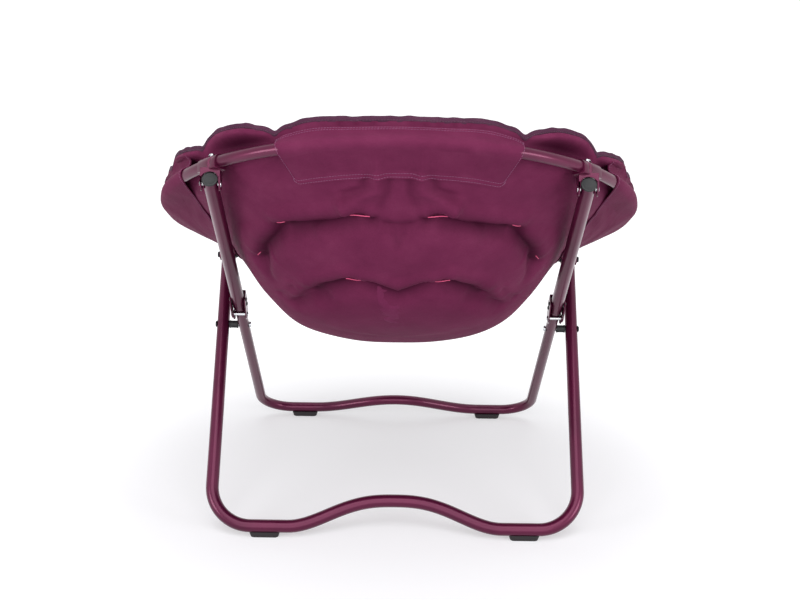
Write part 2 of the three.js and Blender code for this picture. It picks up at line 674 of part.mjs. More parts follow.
// Shares of the seat's radius and depth.
const sideOuterShares = [
  [0, -1], [0.245, -0.99], [0.45, -0.89], [0.59, -0.665],
  [0.71, -0.38], [0.825, -0.145], [0.92, -0.045], [0.98, 0.03],
];
const sideInnerShares = [
  [0, -0.86], [0.235, -0.845], [0.41, -0.75], [0.515, -0.56],
  [0.625, -0.28], [0.76, -0.01], [0.87, 0.1], [0.925, 0.155],
];
const rearOuterShares = [
  [0, -1], [0.24, -0.97], [0.44, -0.87], [0.6, -0.7],
  [0.74, -0.5], [0.86, -0.29], [0.945, -0.12], [0.985, 0.02],
];
const rearInnerShares = [
  [0, -0.86], [0.235, -0.83], [0.41, -0.74], [0.545, -0.6],
  [0.675, -0.42], [0.79, -0.22], [0.875, -0.07], [0.91, 0.05],
];
const rimInset = 18; // padding's thickness at the rim
const rimCrown = 7; // padding above the cloth at the rim

// The rim's height above the hoop's plane: degrees from the rear, and a share of the seat's depth.
// It rises over each puff and dips at each pinch.
const rimHeightShares = [
  [0, 0.158], [10, 0.16], [15, 0.171], [20, 0.173], [25, 0.145], [27.8, 0.128],
  [31, 0.158], [36, 0.206], [41, 0.223], [46, 0.214], [50.5, 0.15],
  [54, 0.16], [58, 0.182], [62, 0.197], [66, 0.203], [70, 0.152],
  [75, 0.169], [84, 0.175], [93, 0.165], [100, 0.129],
  [107, 0.155], [120, 0.16], [133, 0.15], [140, 0.121],
  [147, 0.143], [160, 0.156], [172, 0.158], [180, 0.15],
];

// Degrees round from the rear middle, either way.
function fromRear(degrees) {
  return Math.abs(THREE.MathUtils.euclideanModulo(degrees + halfTurn, fullTurn) - halfTurn);
}

function rimHeight(degrees) {
  const from = fromRear(degrees);
  const k = Math.max(1, rimHeightShares.findIndex(([place]) => from <= place + 0.01));
  const [[start, low], [end, high]] = [rimHeightShares[k - 1], rimHeightShares[k]];
  return seatDepth * (low + (high - low) * (from - start) / (end - start));
}

const splineOf = (shares, last) => new THREE.SplineCurve([
  ...shares.map(([out, up]) => at(out * seatRadius, up * seatDepth)),
  last,
]);

// A point of the seat: depth 0 is the outside cloth, and 1 the top of the fullest padding.
function seatPoint(degrees, along, depth) {
  const angle = degrees * deg;
  const rim = rimHeight(degrees);
  const rearness = Math.max(0, Math.cos(angle)) ** 1.5;
  const outer = at(rimRadius, rim);
  const inner = at(rimRadius - rimInset, rim + rimCrown);
  const pick = (side, rear, last) => (
    splineOf(side, last).getPoint(along).lerp(splineOf(rear, last).getPoint(along), rearness)
  );
  const outside = pick(sideOuterShares, rearOuterShares, outer);
  const flat = outside.lerp(pick(sideInnerShares, rearInnerShares, inner), depth);
  const forward = seatForward * Math.max(0, 1 - (flat.x / seatRadius) ** 2);
  const back = (flat.x * Math.cos(angle) - forward) * seatLengthShare;
  return new THREE.Vector3(flat.x * Math.sin(angle), back, flat.y);
}

// Rings of seams and the rows between them, along the section.
const baseRows = [0, 0.12, 0.24, 0.35];
const midRows = [0.35, 0.425, 0.5, 0.575];
const rimRows = [0.575, 0.68, 0.79, 0.9, 1];
const shellRows = [...new Set([...baseRows, ...midRows, ...rimRows])];

// Outer shell of the cover.
const shellShare = 0.09; // cloth, as a share of the padding's fullness
const paddingShare = 0.115; // where the padding starts
add(seatFrame, 'seat_shell', slab(
  stations, shellRows,
  (angle, along) => seatPoint(angle, along, shellShare),
  (angle, along) => seatPoint(angle, along, 0),
  true,
), plumCloth);

// Stuffed panels of the padding. Each swells from its sewn edges.
const sewnFill = 0.3; // fullness at a seam, as a share
const crownPower = 0.4; // lower is fuller
const seamGap = 1.4;

function panel(from, to, rows) {
  const columns = stationsBetween(from, to);
  const [start, end] = [rows[0], rows[rows.length - 1]];
  const inset = seamGap / 2 / seatRadius;
  const squeeze = (value, low, high, by) => Math.min(Math.max(value, low + by), high - by);
  const within = (value, low, high) => (value - low) / (high - low);
  const point = (angle, along, depth) => seatPoint(
    squeeze(angle, from, to, inset / along / deg),
    squeeze(along, start, end, inset),
    depth,
  );
  const crown = (angle, along) => {
    const u = within(angle, from, to);
    const v = within(along, start, end);
    return sewnFill + (1 - sewnFill) * Math.max(0, 16 * u * (1 - u) * v * (1 - v)) ** crownPower;
  };
  return slab(
    columns, rows,
    (angle, along) => point(angle, along, crown(angle, along)),
    (angle, along) => point(angle, along, paddingShare),
  );
}

rimPanels.forEach(([name, start], k) => {
  add(seatFrame, name, panel(start, rimPanelEnd(k), rimRows), plumCloth);
});

// Panels round the middle: name and the stations where each starts and ends.
const midPanels = [
  ['side_pad_left', 3, 13],
  ['back_pad', 13, 23],
  ['side_pad_right', 23, 33],
  ['front_pad', 33, 49],
];
for (const [name, first, last] of midPanels) {
  add(seatFrame, name, panel(twoTurns[first], twoTurns[last], midRows), plumCloth);
}
const baseEnd = baseRows[baseRows.length - 1];
const baseReach = (along) => Math.min(along, baseEnd - seamGap / 2 / seatRadius);
const baseCrown = (along) => sewnFill + (1 - sewnFill) * Math.sqrt(1 - (along / baseEnd) ** 4);
add(seatFrame, 'base_pad', slab(
  stations, baseRows,
  (angle, along) => seatPoint(angle, baseReach(along), baseCrown(along)),
  (angle, along) => seatPoint(angle, baseReach(along), paddingShare),
  true,
), plumCloth);

// Binding along the rim: its ends meet at the front.
const bindingRadius = 3;
const bindingSides = 6;
const rearMiddle = fullTurn;
const frontMiddle = rearMiddle + halfTurn;
const bindingPath = stationsBetween(frontMiddle, frontMiddle + fullTurn).map((angle) => {
  const edge = seatPoint(angle, 1, 0);
  return edge.setZ(edge.z + sewnFill * rimCrown + bindingRadius + touch);
});
bindingPath[0].x += touch;
bindingPath.at(-1).x -= touch;
add(seatFrame, 'rim_binding', tubeAlong(bindingPath, bindingRadius, 0, bindingSides), darkBinding);

// A point on the facets of the shell, so that the sleeves lie along them.
function shellPoint(degrees, along, depth) {
  const k = Math.max(1, shellRows.findIndex((row) => row >= along - 1e-9));
  const [low, high] = [shellRows[k - 1], shellRows[k]];
  return seatPoint(degrees, low, depth).lerp(seatPoint(degrees, high, depth), (along - low) / (high - low));
}

// Sleeves of the cover. Each starts on the shell above the hoop and goes round the tube.
// Its end is sewn to the shell below.
const sleeveWall = 2.2;
const sleeveLift = 1.4; // between the shell and a sleeve
const sleeveGap = 1.2; // between the tube and the sleeve
const sleeveTurns = 6;
const sleeveTop = 110; // degrees round the tube where a sleeve comes onto it
const flapUnder = -95; // where the rear flap leaves it
const sideUnder = -35; // where a side sleeve leaves it near its rear end, and near the front
const frontUnder = -80;
const settlesFrom = 100; // degrees from the rear between which a side sleeve draws in to the seat
const settlesTo = 150;
const sleeveSlack = 1; // cloth standing off the tube on its outer side
const sewnTopShares = [0.975, 0.945]; // rows sewn to the shell above the hoop, along the section
const hemShare = 0.03; // flat part sewn to the shell below it

function sleeve(columns, leaves) {
  const point = (degrees, row, out) => {
    const [sleeveUnder, hemAlong] = leaves(degrees);
    const onShell = (along) => {
      const foot = shellPoint(degrees, along, 0);
      const inside = shellPoint(degrees, along, 1);
      return foot.addScaledVector(foot.clone().sub(inside).normalize(), sleeveLift + out);
    };
    if (row < sewnTopShares.length) return onShell(sewnTopShares[row]);
    const round = row - sewnTopShares.length;
    if (round > sleeveTurns) return onShell(hemAlong - (round - sleeveTurns - 1) * hemShare);
    const turn = (sleeveTop + (sleeveUnder - sleeveTop) * round / sleeveTurns) * deg;
    const share = (sleeveTop - turn / deg) / (sleeveTop - sleeveUnder);
    const slack = sleeveSlack * Math.max(0, Math.sin(share * Math.PI)) ** 2;
    const reach = hoopTubeRadius + sleeveGap + out + slack;
    const away = new THREE.Vector3(Math.sin(degrees * deg), Math.cos(degrees * deg), 0);
    away.multiplyScalar(reach * Math.cos(turn));
    return hoopPoint(degrees).add(away).setZ(reach * Math.sin(turn));
  };
  const rows = Array.from({ length: sewnTopShares.length + sleeveTurns + 3 }, (_, row) => row);
  return slab(
    columns, rows,
    (angle, row) => point(angle, row, 0),
    (angle, row) => point(angle, row, sleeveWall),
  );
}

const sleeveEndGap = 0.1; // degrees each side of the front middle
const sleeveStart = stations[10];
const sideHemShare = 0.55;
const frontHemShare = 0.66;
const flapHemShare = 0.73;
const flapLeaves = () => [flapUnder, flapHemShare];

function sideLeaves(degrees) {
  const share = THREE.MathUtils.smoothstep(fromRear(degrees), settlesFrom, settlesTo);
  const { lerp } = THREE.MathUtils;
  return [lerp(sideUnder, frontUnder, share), lerp(sideHemShare, frontHemShare, share)];
}

add(seatFrame, 'rear_flap', sleeve(stationsBetween(stations[14], stations[22]), flapLeaves), plumCloth);
// A slot in each sleeve lets the front bracket and the leg through.
const slotMargin = 3;
for (const [word, side] of sides) {
  const reach = frontMiddle - rearMiddle - (rearMiddle - sleeveStart);
  const span = side > 0 ? [frontMiddle - reach, frontMiddle] : [frontMiddle, frontMiddle + reach];
  const columns = stationsBetween(...span);
  if (side > 0) columns[columns.length - 1] -= sleeveEndGap;
  else columns[0] += sleeveEndGap;
  const half = frontBracketInside + bracketWall + boltHeadHeight + slotMargin;
  const x = side * rearHalfWidth;
  const slot = block(
    x - half, x + half,
    -bracketFront - bracketHalfDepth - slotMargin, -bracketFront + bracketHalfDepth + slotMargin,
    -seatDepth / 2, webTop + touch,
  );
  add(seatFrame, `side_sleeve_${word}`, cut(sleeve(columns, sideLeaves), slot), plumCloth);
}

// The origin is on the floor, under the middle of the whole chair.
chair.updateMatrixWorld(true);
const extent = new THREE.Box3().setFromObject(chair, true);
chair.position.y = -(extent.min.y + extent.max.y) / 2;

export default chair;
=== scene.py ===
import math

import bmesh
import bpy
import numpy as np
from mathutils import Matrix, Vector


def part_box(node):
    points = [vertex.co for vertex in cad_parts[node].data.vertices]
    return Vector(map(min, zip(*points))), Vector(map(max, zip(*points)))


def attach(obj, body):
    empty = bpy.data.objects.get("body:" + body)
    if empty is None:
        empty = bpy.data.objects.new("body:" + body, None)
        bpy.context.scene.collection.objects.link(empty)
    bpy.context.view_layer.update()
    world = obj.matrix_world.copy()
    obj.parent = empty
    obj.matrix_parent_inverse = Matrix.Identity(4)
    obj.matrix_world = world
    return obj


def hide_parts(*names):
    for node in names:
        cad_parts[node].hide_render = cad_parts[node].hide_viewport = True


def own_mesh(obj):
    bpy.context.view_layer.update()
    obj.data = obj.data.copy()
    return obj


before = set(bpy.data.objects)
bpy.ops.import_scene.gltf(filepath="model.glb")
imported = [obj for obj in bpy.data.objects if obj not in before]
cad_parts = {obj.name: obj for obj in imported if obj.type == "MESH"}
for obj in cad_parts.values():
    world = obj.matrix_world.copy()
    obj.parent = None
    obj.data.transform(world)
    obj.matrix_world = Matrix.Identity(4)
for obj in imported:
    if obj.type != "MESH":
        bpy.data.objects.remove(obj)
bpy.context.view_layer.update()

# The chair's measures, in metres, the same as in the part's source
hoop_half_width = 0.430
hoop_half_length = 0.438
hoop_tube_radius = 0.010
hoop_tilt = math.radians(28.3)
pivot_drop = 0.034
seat_inset = 0.010
hoop_past_rim = 0.008
seat_depth = 0.232
rear_tube_radius = 0.0125
front_tube_radius = 0.011
spacer_length = 0.0185
rear_half_width = hoop_half_width - 0.077
front_half_width = rear_half_width - rear_tube_radius - spacer_length - front_tube_radius
foot_spread = 0.585
bar_height = 0.020
crossing_rise = 0.3154
crossing_reach = 0.2633
rear_corner_radius = 0.078
front_corner_radius = 0.070
rear_wave_half_width = rear_half_width - 0.148
front_wave_half_width = front_half_width - 0.119
wave_rise = 0.052
rear_wave_power = 1.3
front_wave_power = 1
leg_top_past = 0.011
strut_radius = 0.0125
strut_top_past = 0.012
elbow_past_crossing = 0.0754
strut_end_gap = 0.010
leg_end_gap = 0.006
touch = 0.0003
cap_radius = 0.0133
cap_lip = 0.004
plug_lip = 0.002
bracket_wall = 0.0025
bracket_half_depth = 0.015
foot_length = 0.060

# The places of the bars, crossing, pivots and hoop, worked out as the source does, as (y, z)
lowest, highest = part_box("rear_foot_left")
rear_bar = Vector(((lowest.y + highest.y) / 2, bar_height))
front_bar = rear_bar - Vector((foot_spread, 0))
crossing = rear_bar + Vector((-crossing_reach, crossing_rise))
rear_up = (crossing - rear_bar).normalized()
front_up = (crossing - front_bar).normalized()
hoop_back = Vector((math.cos(hoop_tilt), math.sin(hoop_tilt)))
hoop_up = Vector((-math.sin(hoop_tilt), math.cos(hoop_tilt)))
bracket_back = hoop_half_length * math.sqrt(1 - (front_half_width / hoop_half_width) ** 2)
bracket_front = hoop_half_length * math.sqrt(1 - (rear_half_width / hoop_half_width) ** 2)
gap_to_close = -hoop_back * (bracket_front + bracket_back) - (rear_bar - front_bar)
rear_leg_to_pivot = gap_to_close.cross(front_up) / rear_up.cross(front_up)
front_pivot = rear_bar + rear_up * rear_leg_to_pivot
hoop_centre = front_pivot + hoop_back * bracket_front + hoop_up * pivot_drop
rear_pivot = hoop_centre + hoop_back * bracket_back - hoop_up * pivot_drop
front_leg_to_crossing = (crossing - front_bar).length
front_leg_to_elbow = front_leg_to_crossing + elbow_past_crossing
front_leg_to_rear_pivot = (rear_pivot - front_bar).length


def frame_at(point, along, up):
    """Where a piece drawn with Y along and Z up goes in the chair."""
    return Matrix((
        (1, 0, 0, 0),
        (0, along.x, up.x, point.x),
        (0, along.y, up.y, point.y),
        (0, 0, 0, 1),
    ))


rear_frame = frame_at(rear_bar, Vector((rear_up.y, -rear_up.x)), rear_up)
front_frame = frame_at(front_bar, Vector((front_up.y, -front_up.x)), front_up)
seat_frame = frame_at(hoop_centre, hoop_back, hoop_up)
sides = [("left", -1), ("right", 1)]


def to_linear(hex_colour):
    """An sRGB hex colour as linear red, green, blue and full alpha."""
    values = [int(hex_colour[i:i + 2], 16) / 255 for i in (1, 3, 5)]
    return tuple(v / 12.92 if v <= 0.04045 else ((v + 0.055) / 1.055) ** 2.4 for v in values) + (1.0,)


def add_node(tree, kind, settings=None, inputs=None, links=None, stops=()):
    """Adds one node, with its settings, its input values, the outputs that feed its inputs and, for a ramp,
    its colours with their places from 0 to 1."""
    made = tree.nodes.new(kind)
    for key, value in (settings or {}).items():
        setattr(made, key, value)
    for key, value in (inputs or {}).items():
        made.inputs[key].default_value = value
    for key, output in (links or {}).items():
        tree.links.new(output, made.inputs[key])
    for _ in stops[2:]:
        made.color_ramp.elements.new(0.5)
    for number, (share, colour) in enumerate(stops):
        made.color_ramp.elements[number].position = share
        made.color_ramp.elements[number].color = to_linear(colour)
    return made


def new_material(name, **shader):
    """A material whose shader has these plain values; returns the material, its tree and its shader."""
    material = bpy.data.materials.new(name)
    material.use_nodes = True
    tree = material.node_tree
    bsdf = tree.nodes["Principled BSDF"]
    for key, value in shader.items():
        bsdf.inputs[key.replace("_", " ")].default_value = value
    return material, tree, bsdf


def feed(tree, bsdf, colour, rough, bump):
    """Gives the shader its colour, roughness and relief from these nodes."""
    tree.links.new(colour.outputs["Color"], bsdf.inputs["Base Color"])
    tree.links.new(rough.outputs["Result"], bsdf.inputs["Roughness"])
    tree.links.new(bump.outputs["Normal"], bsdf.inputs["Normal"])


# Blender's wave texture has this many bands in a metre at a scale of 1
wave_bands = 3.2


def cloth_material(name, dark, middle, light, thread=0.0011, sheen=0.14, painted_shade_colour="#3A0C24"):
    """Coated polyester canvas in a plain weave. Its threads are 0.5 mm apart, drawn at about twice that so
    that they show; the eye sees a soft satin cloth with faint mottling 70 mm across, specks of 2.4 mm and
    creases of 31 mm."""
    material, tree, bsdf = new_material(
        name, Sheen_Weight=sheen, Sheen_Roughness=0.4, Sheen_Tint=to_linear(light), Specular_IOR_Level=0.04,
    )
    flat = {"Vector": add_node(tree, "ShaderNodeTexCoord").outputs["UV"]}
    weave = {}
    for number, direction in enumerate("XY"):
        bands = add_node(
            tree, "ShaderNodeTexWave", {"bands_direction": direction, "wave_profile": "SIN"},
            {"Scale": 1 / thread / wave_bands, "Distortion": 0.6, "Detail": 1.0, "Detail Scale": 2.0}, flat,
        )
        weave[number] = bands.outputs["Fac"]
    threads = add_node(tree, "ShaderNodeMath", {"operation": "MULTIPLY"}, links=weave).outputs["Value"]
    mottle = add_node(
        tree, "ShaderNodeTexNoise", inputs={"Scale": 14.0, "Detail": 5.0, "Roughness": 0.6}, links=flat,
    )
    fine = add_node(
        tree, "ShaderNodeTexNoise", inputs={"Scale": 420.0, "Detail": 2.0, "Roughness": 0.5}, links=flat,
    )
    mixed = add_node(
        tree, "ShaderNodeMath", {"operation": "MULTIPLY_ADD"}, {1: 0.3},
        {0: fine.outputs["Fac"], 2: mottle.outputs["Fac"]},
    )
    colour = add_node(
        tree, "ShaderNodeValToRGB", links={"Fac": mixed.outputs["Value"]},
        stops=[(0.38, dark), (0.66, middle), (0.95, light)],
    )
    # Painted shade: where the fold_shade attribute says so, deep in the folds and under the rim's puffs, the
    # cloth is darkened towards the painted shade colour. This stands in for the shade that falls there
    deep = add_node(tree, "ShaderNodeAttribute", {"attribute_name": "fold_shade"})
    shaded = add_node(
        tree, "ShaderNodeMixRGB", inputs={"Color2": to_linear(painted_shade_colour)},
        links={"Fac": deep.outputs["Fac"], "Color1": colour.outputs["Color"]},
    )
    rough = add_node(
        tree, "ShaderNodeMapRange", inputs={"To Min": 0.62, "To Max": 0.5}, links={"Value": threads},
    )
    crease = add_node(
        tree, "ShaderNodeTexNoise",
        inputs={"Scale": 32.0, "Detail": 4.0, "Roughness": 0.55, "Distortion": 0.8}, links=flat,
    )
    soft = add_node(
        tree, "ShaderNodeBump", inputs={"Strength": 0.26, "Distance": 0.004},
        links={"Height": crease.outputs["Fac"]},
    )
    bump = add_node(
        tree, "ShaderNodeBump", inputs={"Strength": 0.18, "Distance": 0.0003},
        links={"Height": threads, "Normal": soft.outputs["Normal"]},
    )
    feed(tree, bsdf, shaded, rough, bump)
    return material


def paint_material(name, base, dark):
    """Metallic plum enamel baked on steel tube: glossy, with faint clouds 110 mm across, dust of 6 mm and the
    ripple of sprayed paint at 1.1 mm."""
    material, tree, bsdf = new_material(
        name, Metallic=0.5, Coat_Weight=0.22, Coat_Roughness=0.05, Specular_IOR_Level=0.3,
    )
    spot = {"Vector": add_node(tree, "ShaderNodeTexCoord").outputs["Object"]}
    cloud = add_node(
        tree, "ShaderNodeTexNoise", inputs={"Scale": 9.0, "Detail": 3.0, "Roughness": 0.5}, links=spot,
    )
    colour = add_node(
        tree, "ShaderNodeValToRGB", links={"Fac": cloud.outputs["Fac"]}, stops=[(0.35, dark), (0.65, base)],
    )
    dust = add_node(
        tree, "ShaderNodeTexNoise", inputs={"Scale": 160.0, "Detail": 3.0, "Roughness": 0.6}, links=spot,
    )
    rough = add_node(
        tree, "ShaderNodeMapRange", inputs={"To Min": 0.24, "To Max": 0.36},
        links={"Value": dust.outputs["Fac"]},
    )
    orange_peel = add_node(tree, "ShaderNodeTexNoise", inputs={"Scale": 900.0, "Detail": 1.0}, links=spot)
    bump = add_node(
        tree, "ShaderNodeBump", inputs={"Strength": 0.06, "Distance": 0.0002},
        links={"Height": orange_peel.outputs["Fac"]},
    )
    feed(tree, bsdf, colour, rough, bump)
    return material


def grained_material(name, dark, light, grain, roughness, metallic=0.0, strength=0.25):
    """A surface with a fine grain, in metres, such as moulded plastic or plated steel."""
    material, tree, bsdf = new_material(name, Metallic=metallic)
    spot = add_node(tree, "ShaderNodeTexCoord").outputs["Object"]
    speckle = add_node(
        tree, "ShaderNodeTexNoise", inputs={"Scale": 1 / grain, "Detail": 3.0, "Roughness": 0.6},
        links={"Vector": spot},
    ).outputs["Fac"]
    colour = add_node(
        tree, "ShaderNodeValToRGB", links={"Fac": speckle}, stops=[(0.3, dark), (0.7, light)],
    )
    rough = add_node(
        tree, "ShaderNodeMapRange", inputs={"To Min": roughness - 0.06, "To Max": roughness + 0.08},
        links={"Value": speckle},
    )
    bump = add_node(
        tree, "ShaderNodeBump", inputs={"Strength": strength, "Distance": 0.0002}, links={"Height": speckle},
    )
    feed(tree, bsdf, colour, rough, bump)
    return material


# Each finish is the slot that it fills on the chair, with its material.
# The cover: coated polyester canvas, woven; satin, a little lighter where it is worn by handling
cover_canvas = "plum_cloth", cloth_material("coated_polyester_canvas", "#5E213F", "#692747", "#743050")
# The padding's own cloth, the same canvas without that wear: lighter and plainer
pad_canvas = "plum_cloth", cloth_material(
    "quilted_polyester_canvas", "#622443", "#6E2A4C", "#7A3557", sheen=0.1,
)
# The binding: woven polyester tape, duller and greyer than the canvas
binding_tape = "binding", cloth_material(
    "woven_polyester_tape", "#402436", "#4E2D41", "#5C394C", thread=0.0016, sheen=0.1,
)
# Frame: steel tube with baked metallic enamel, glossy with pale highlights
enamel = "plum_paint", paint_material("baked_enamel_on_steel", "#5E173B", "#531334")
# Caps, plugs and spacers: moulded polypropylene, near-black with a fine spark-eroded grain
moulded_black = "black_plastic", grained_material(
    "moulded_polypropylene", "#0C0E10", "#14171A", 0.0006, 0.56,
)
# Feet: black rubber, matt and a little warm
black_rubber = "black_plastic", grained_material("moulded_rubber", "#181316", "#221B1F", 0.0009, 0.62)
# Pins and rivets: zinc-plated steel, bright with a fine grain
zinc_steel = "bright_steel", grained_material(
    "zinc_plated_steel", "#B9BCC0", "#D2D4D6", 0.0008, 0.24, 1.0, 0.12,
)
# Bolts: steel with black oxide, dark and a little oily
black_oxide_steel = "black_steel", grained_material(
    "black_oxide_steel", "#1E2022", "#303235", 0.0008, 0.38, 0.85, 0.15,
)
# Seam thread: bonded polyester, plum, a little brighter than the cloth
seam_thread = "plum_cloth", grained_material(
    "plum_sewing_thread", "#84486B", "#945A7E", 0.0012, 0.55, 0.0, 0.3,
)
# Binding thread: bonded polyester, as dark as the tape
dark_thread = "plum_cloth", grained_material(
    "dark_sewing_thread", "#4A2A3E", "#5A364C", 0.0012, 0.55, 0.0, 0.3,
)
# Tack thread: bonded polyester in bright rose
tack_thread = "plum_cloth", grained_material(
    "rose_sewing_thread", "#E2487C", "#F0668E", 0.0012, 0.5, 0.0, 0.3,
)


def deselect_all():
    """Leaves edit mode and selects nothing."""
    if bpy.context.object and bpy.context.object.mode != "OBJECT":
        bpy.ops.object.mode_set(mode="OBJECT")
    bpy.ops.object.select_all(action="DESELECT")


def pick(piece):
    """Makes this the one selected and active object."""
    deselect_all()
    piece.select_set(True)
    bpy.context.view_layer.objects.active = piece


def select_parts(piece, kind, test):
    """In edit mode, selects the faces or edges whose middle and direction pass the test."""
    pick(piece)
    bpy.ops.object.mode_set(mode="EDIT")
    bpy.ops.mesh.select_mode(type=kind)
    bpy.ops.mesh.select_all(action="DESELECT")
    mesh = bmesh.from_edit_mesh(piece.data)
    for part in mesh.edges if kind == "EDGE" else mesh.faces:
        if kind == "EDGE":
            middle = (part.verts[0].co + part.verts[1].co) / 2
            direction = (part.verts[1].co - part.verts[0].co).normalized()
        else:
            middle, direction = part.calc_center_median(), part.normal
        part.select_set(bool(test(middle, direction)))
    mesh.select_flush_mode()
    bmesh.update_edit_mesh(piece.data)


def apply_modifier(piece, kind, **settings):
    """Adds a modifier and applies it."""
    pick(piece)
    modifier = piece.modifiers.new(kind.lower(), kind)
    for key, value in settings.items():
        setattr(modifier, key, value)
    bpy.ops.object.modifier_apply(modifier=modifier.name)


def cut_away(piece, tool):
    """Cuts the tool's room out of the piece."""
    apply_modifier(piece, "BOOLEAN", operation="DIFFERENCE", object=tool, solver="EXACT")
    bpy.data.objects.remove(tool)


def soften(piece, width):
    """Rounds the piece's sharp edges over."""
    apply_modifier(
        piece, "BEVEL", width=width, segments=3, limit_method="ANGLE", angle_limit=math.radians(35),
    )


def from_points(points, faces):
    """A new piece made of points and faces."""
    mesh = bpy.data.meshes.new("piece")
    mesh.from_pydata(points.tolist(), [], faces)
    piece = bpy.data.objects.new("piece", mesh)
    bpy.context.scene.collection.objects.link(piece)
    return piece


def lay_flat(piece, flat):
    """Gives a piece of cloth its flat places as its UV map, and turns its faces outwards."""
    mesh = piece.data
    corner = np.empty(len(mesh.loops), np.int32)
    mesh.loops.foreach_get("vertex_index", corner)
    layer = mesh.uv_layers.new(name="cloth")
    layer.data.foreach_set("uv", flat[corner].astype(np.float32).ravel())
    pick(piece)
    bpy.ops.object.mode_set(mode="EDIT")
    bpy.ops.mesh.select_all(action="SELECT")
    bpy.ops.mesh.delete_loose()
    bpy.ops.mesh.select_all(action="SELECT")
    bpy.ops.mesh.normals_make_consistent(inside=False)
    bpy.ops.object.mode_set(mode="OBJECT")


def block(x, y, z, length, depth, height):
    """A box with its middle at a place."""
    deselect_all()
    bpy.ops.mesh.primitive_cube_add(size=1, location=(x, y, z), scale=(length, depth, height))
    piece = bpy.context.object
    bpy.ops.object.transform_apply(location=True, rotation=True, scale=True)
    return piece


def rod(sides, radius, length, rotation, middle=(0, 0, 0)):
    """A plain round rod with its middle at a place."""
    deselect_all()
    bpy.ops.mesh.primitive_cylinder_add(
        vertices=sides, radius=radius, depth=length, location=middle, rotation=rotation,
    )
    return bpy.context.object


def place(piece, where):
    """Puts the piece's place into its mesh, so that its object sits at the origin."""
    piece.data.transform(where @ piece.matrix_world)
    piece.matrix_world = Matrix.Identity(4)


def done(piece, name, where, body, finish, replaced=(), angle=35):
    """Places a finished piece, gives it its material, smooths it, hangs it on its body's empty and hides the
    CAD nodes that it replaces.
    """
    slot, material = finish
    deselect_all()
    place(piece, where)
    piece.name = name
    piece.data.name = name
    piece.data.materials.clear()
    piece.data.materials.append(material)
    pick(piece)
    bpy.ops.object.shade_smooth_by_angle(angle=math.radians(angle))
    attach(piece, body)
    if replaced:
        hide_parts(*replaced)
    return piece


def join_pieces(pieces):
    """Joins finished parts of one piece."""
    pick(pieces[0])
    for other in pieces[1:]:
        other.select_set(True)
    bpy.ops.object.join()
    return bpy.context.object


def bent_tube(points, radius, sides=28, closed=False):
    """A round tube along a path of points: a path curve is given a round section and made a mesh."""
    deselect_all()
    bpy.ops.curve.primitive_nurbs_path_add()
    path = bpy.context.object
    path.data.splines.clear()
    spline = path.data.splines.new("POLY")
    spline.points.add(len(points) - 1)
    for point, target in zip(spline.points, points):
        point.co = (*target, 1)
    spline.use_cyclic_u = closed
    path.data.dimensions = "3D"
    path.data.bevel_depth = radius
    path.data.bevel_resolution = sides // 4 - 1
    path.data.use_fill_caps = not closed
    bpy.ops.object.convert(target="MESH")
    tube = bpy.context.object
    bpy.ops.object.mode_set(mode="EDIT")
    bpy.ops.mesh.select_all(action="SELECT")
    bpy.ops.mesh.remove_doubles(threshold=1e-6)
    bpy.ops.mesh.normals_make_consistent(inside=False)
    bpy.ops.object.mode_set(mode="OBJECT")
    return tube


def turned(profile, sides=32):
    """A turned piece on its own Z: a disc is extruded from each (height, radius) to the next."""
    deselect_all()
    height, radius = profile[0]
    bpy.ops.mesh.primitive_circle_add(
        vertices=sides, radius=radius, fill_type="NGON", location=(0, 0, height),
    )
    piece = bpy.context.object
    bpy.ops.object.mode_set(mode="EDIT")
    bpy.ops.mesh.select_all(action="SELECT")
    for (z0, r0), (z1, r1) in zip(profile, profile[1:]):
        bpy.ops.mesh.extrude_region_move(TRANSFORM_OT_translate={"value": (0, 0, z1 - z0)})
        if abs(r1 - r0) > 1e-9:
            bpy.ops.transform.resize(value=(r1 / r0, r1 / r0, 1))
    bpy.ops.mesh.select_all(action="SELECT")
    bpy.ops.mesh.normals_make_consistent(inside=False)
    bpy.ops.object.mode_set(mode="OBJECT")
    return piece


def along_x(x, y=0.0, z=0.0, side=1):
    """Turns a piece from its own Z to X, or to -X, and moves it."""
    return Matrix.Translation((x, y, z)) @ Matrix.Rotation(side * math.pi / 2, 4, "Y")


def steps(low, high, count):
    """Evenly spaced values, ends included."""
    return [low + (high - low) * i / count for i in range(count + 1)]


def unit(vectors):
    """The vectors at a length of 1."""
    return vectors / np.maximum(np.linalg.norm(vectors, axis=-1, keepdims=True), 1e-12)


def spokes(degrees):
    """Level directions away from the seat's middle, turned from the rear."""
    angle = np.radians(degrees)
    return np.stack([np.sin(angle), np.cos(angle), 0 * angle], -1)


def ways_along(line):
    """How far along a line each of its points is."""
    return np.concatenate([[0], np.cumsum(np.linalg.norm(np.diff(line, axis=0), axis=1))])


def points_at(where, ways, line):
    """The points at some ways along a line."""
    return np.stack([np.interp(where, ways, line[:, i]) for i in range(3)], -1)


def evened(values, times):
    """A line of values or points with its inner ones softened."""
    for _ in range(times):
        values[1:-1] = (values[:-2] + 2 * values[1:-1] + values[2:]) / 4
    return values


def smoothly(value, low, high):
    """From 0 at low to 1 at high, level at both ends."""
    share = np.clip((value - low) / (high - low), 0, 1)
    return share * share * (3 - 2 * share)


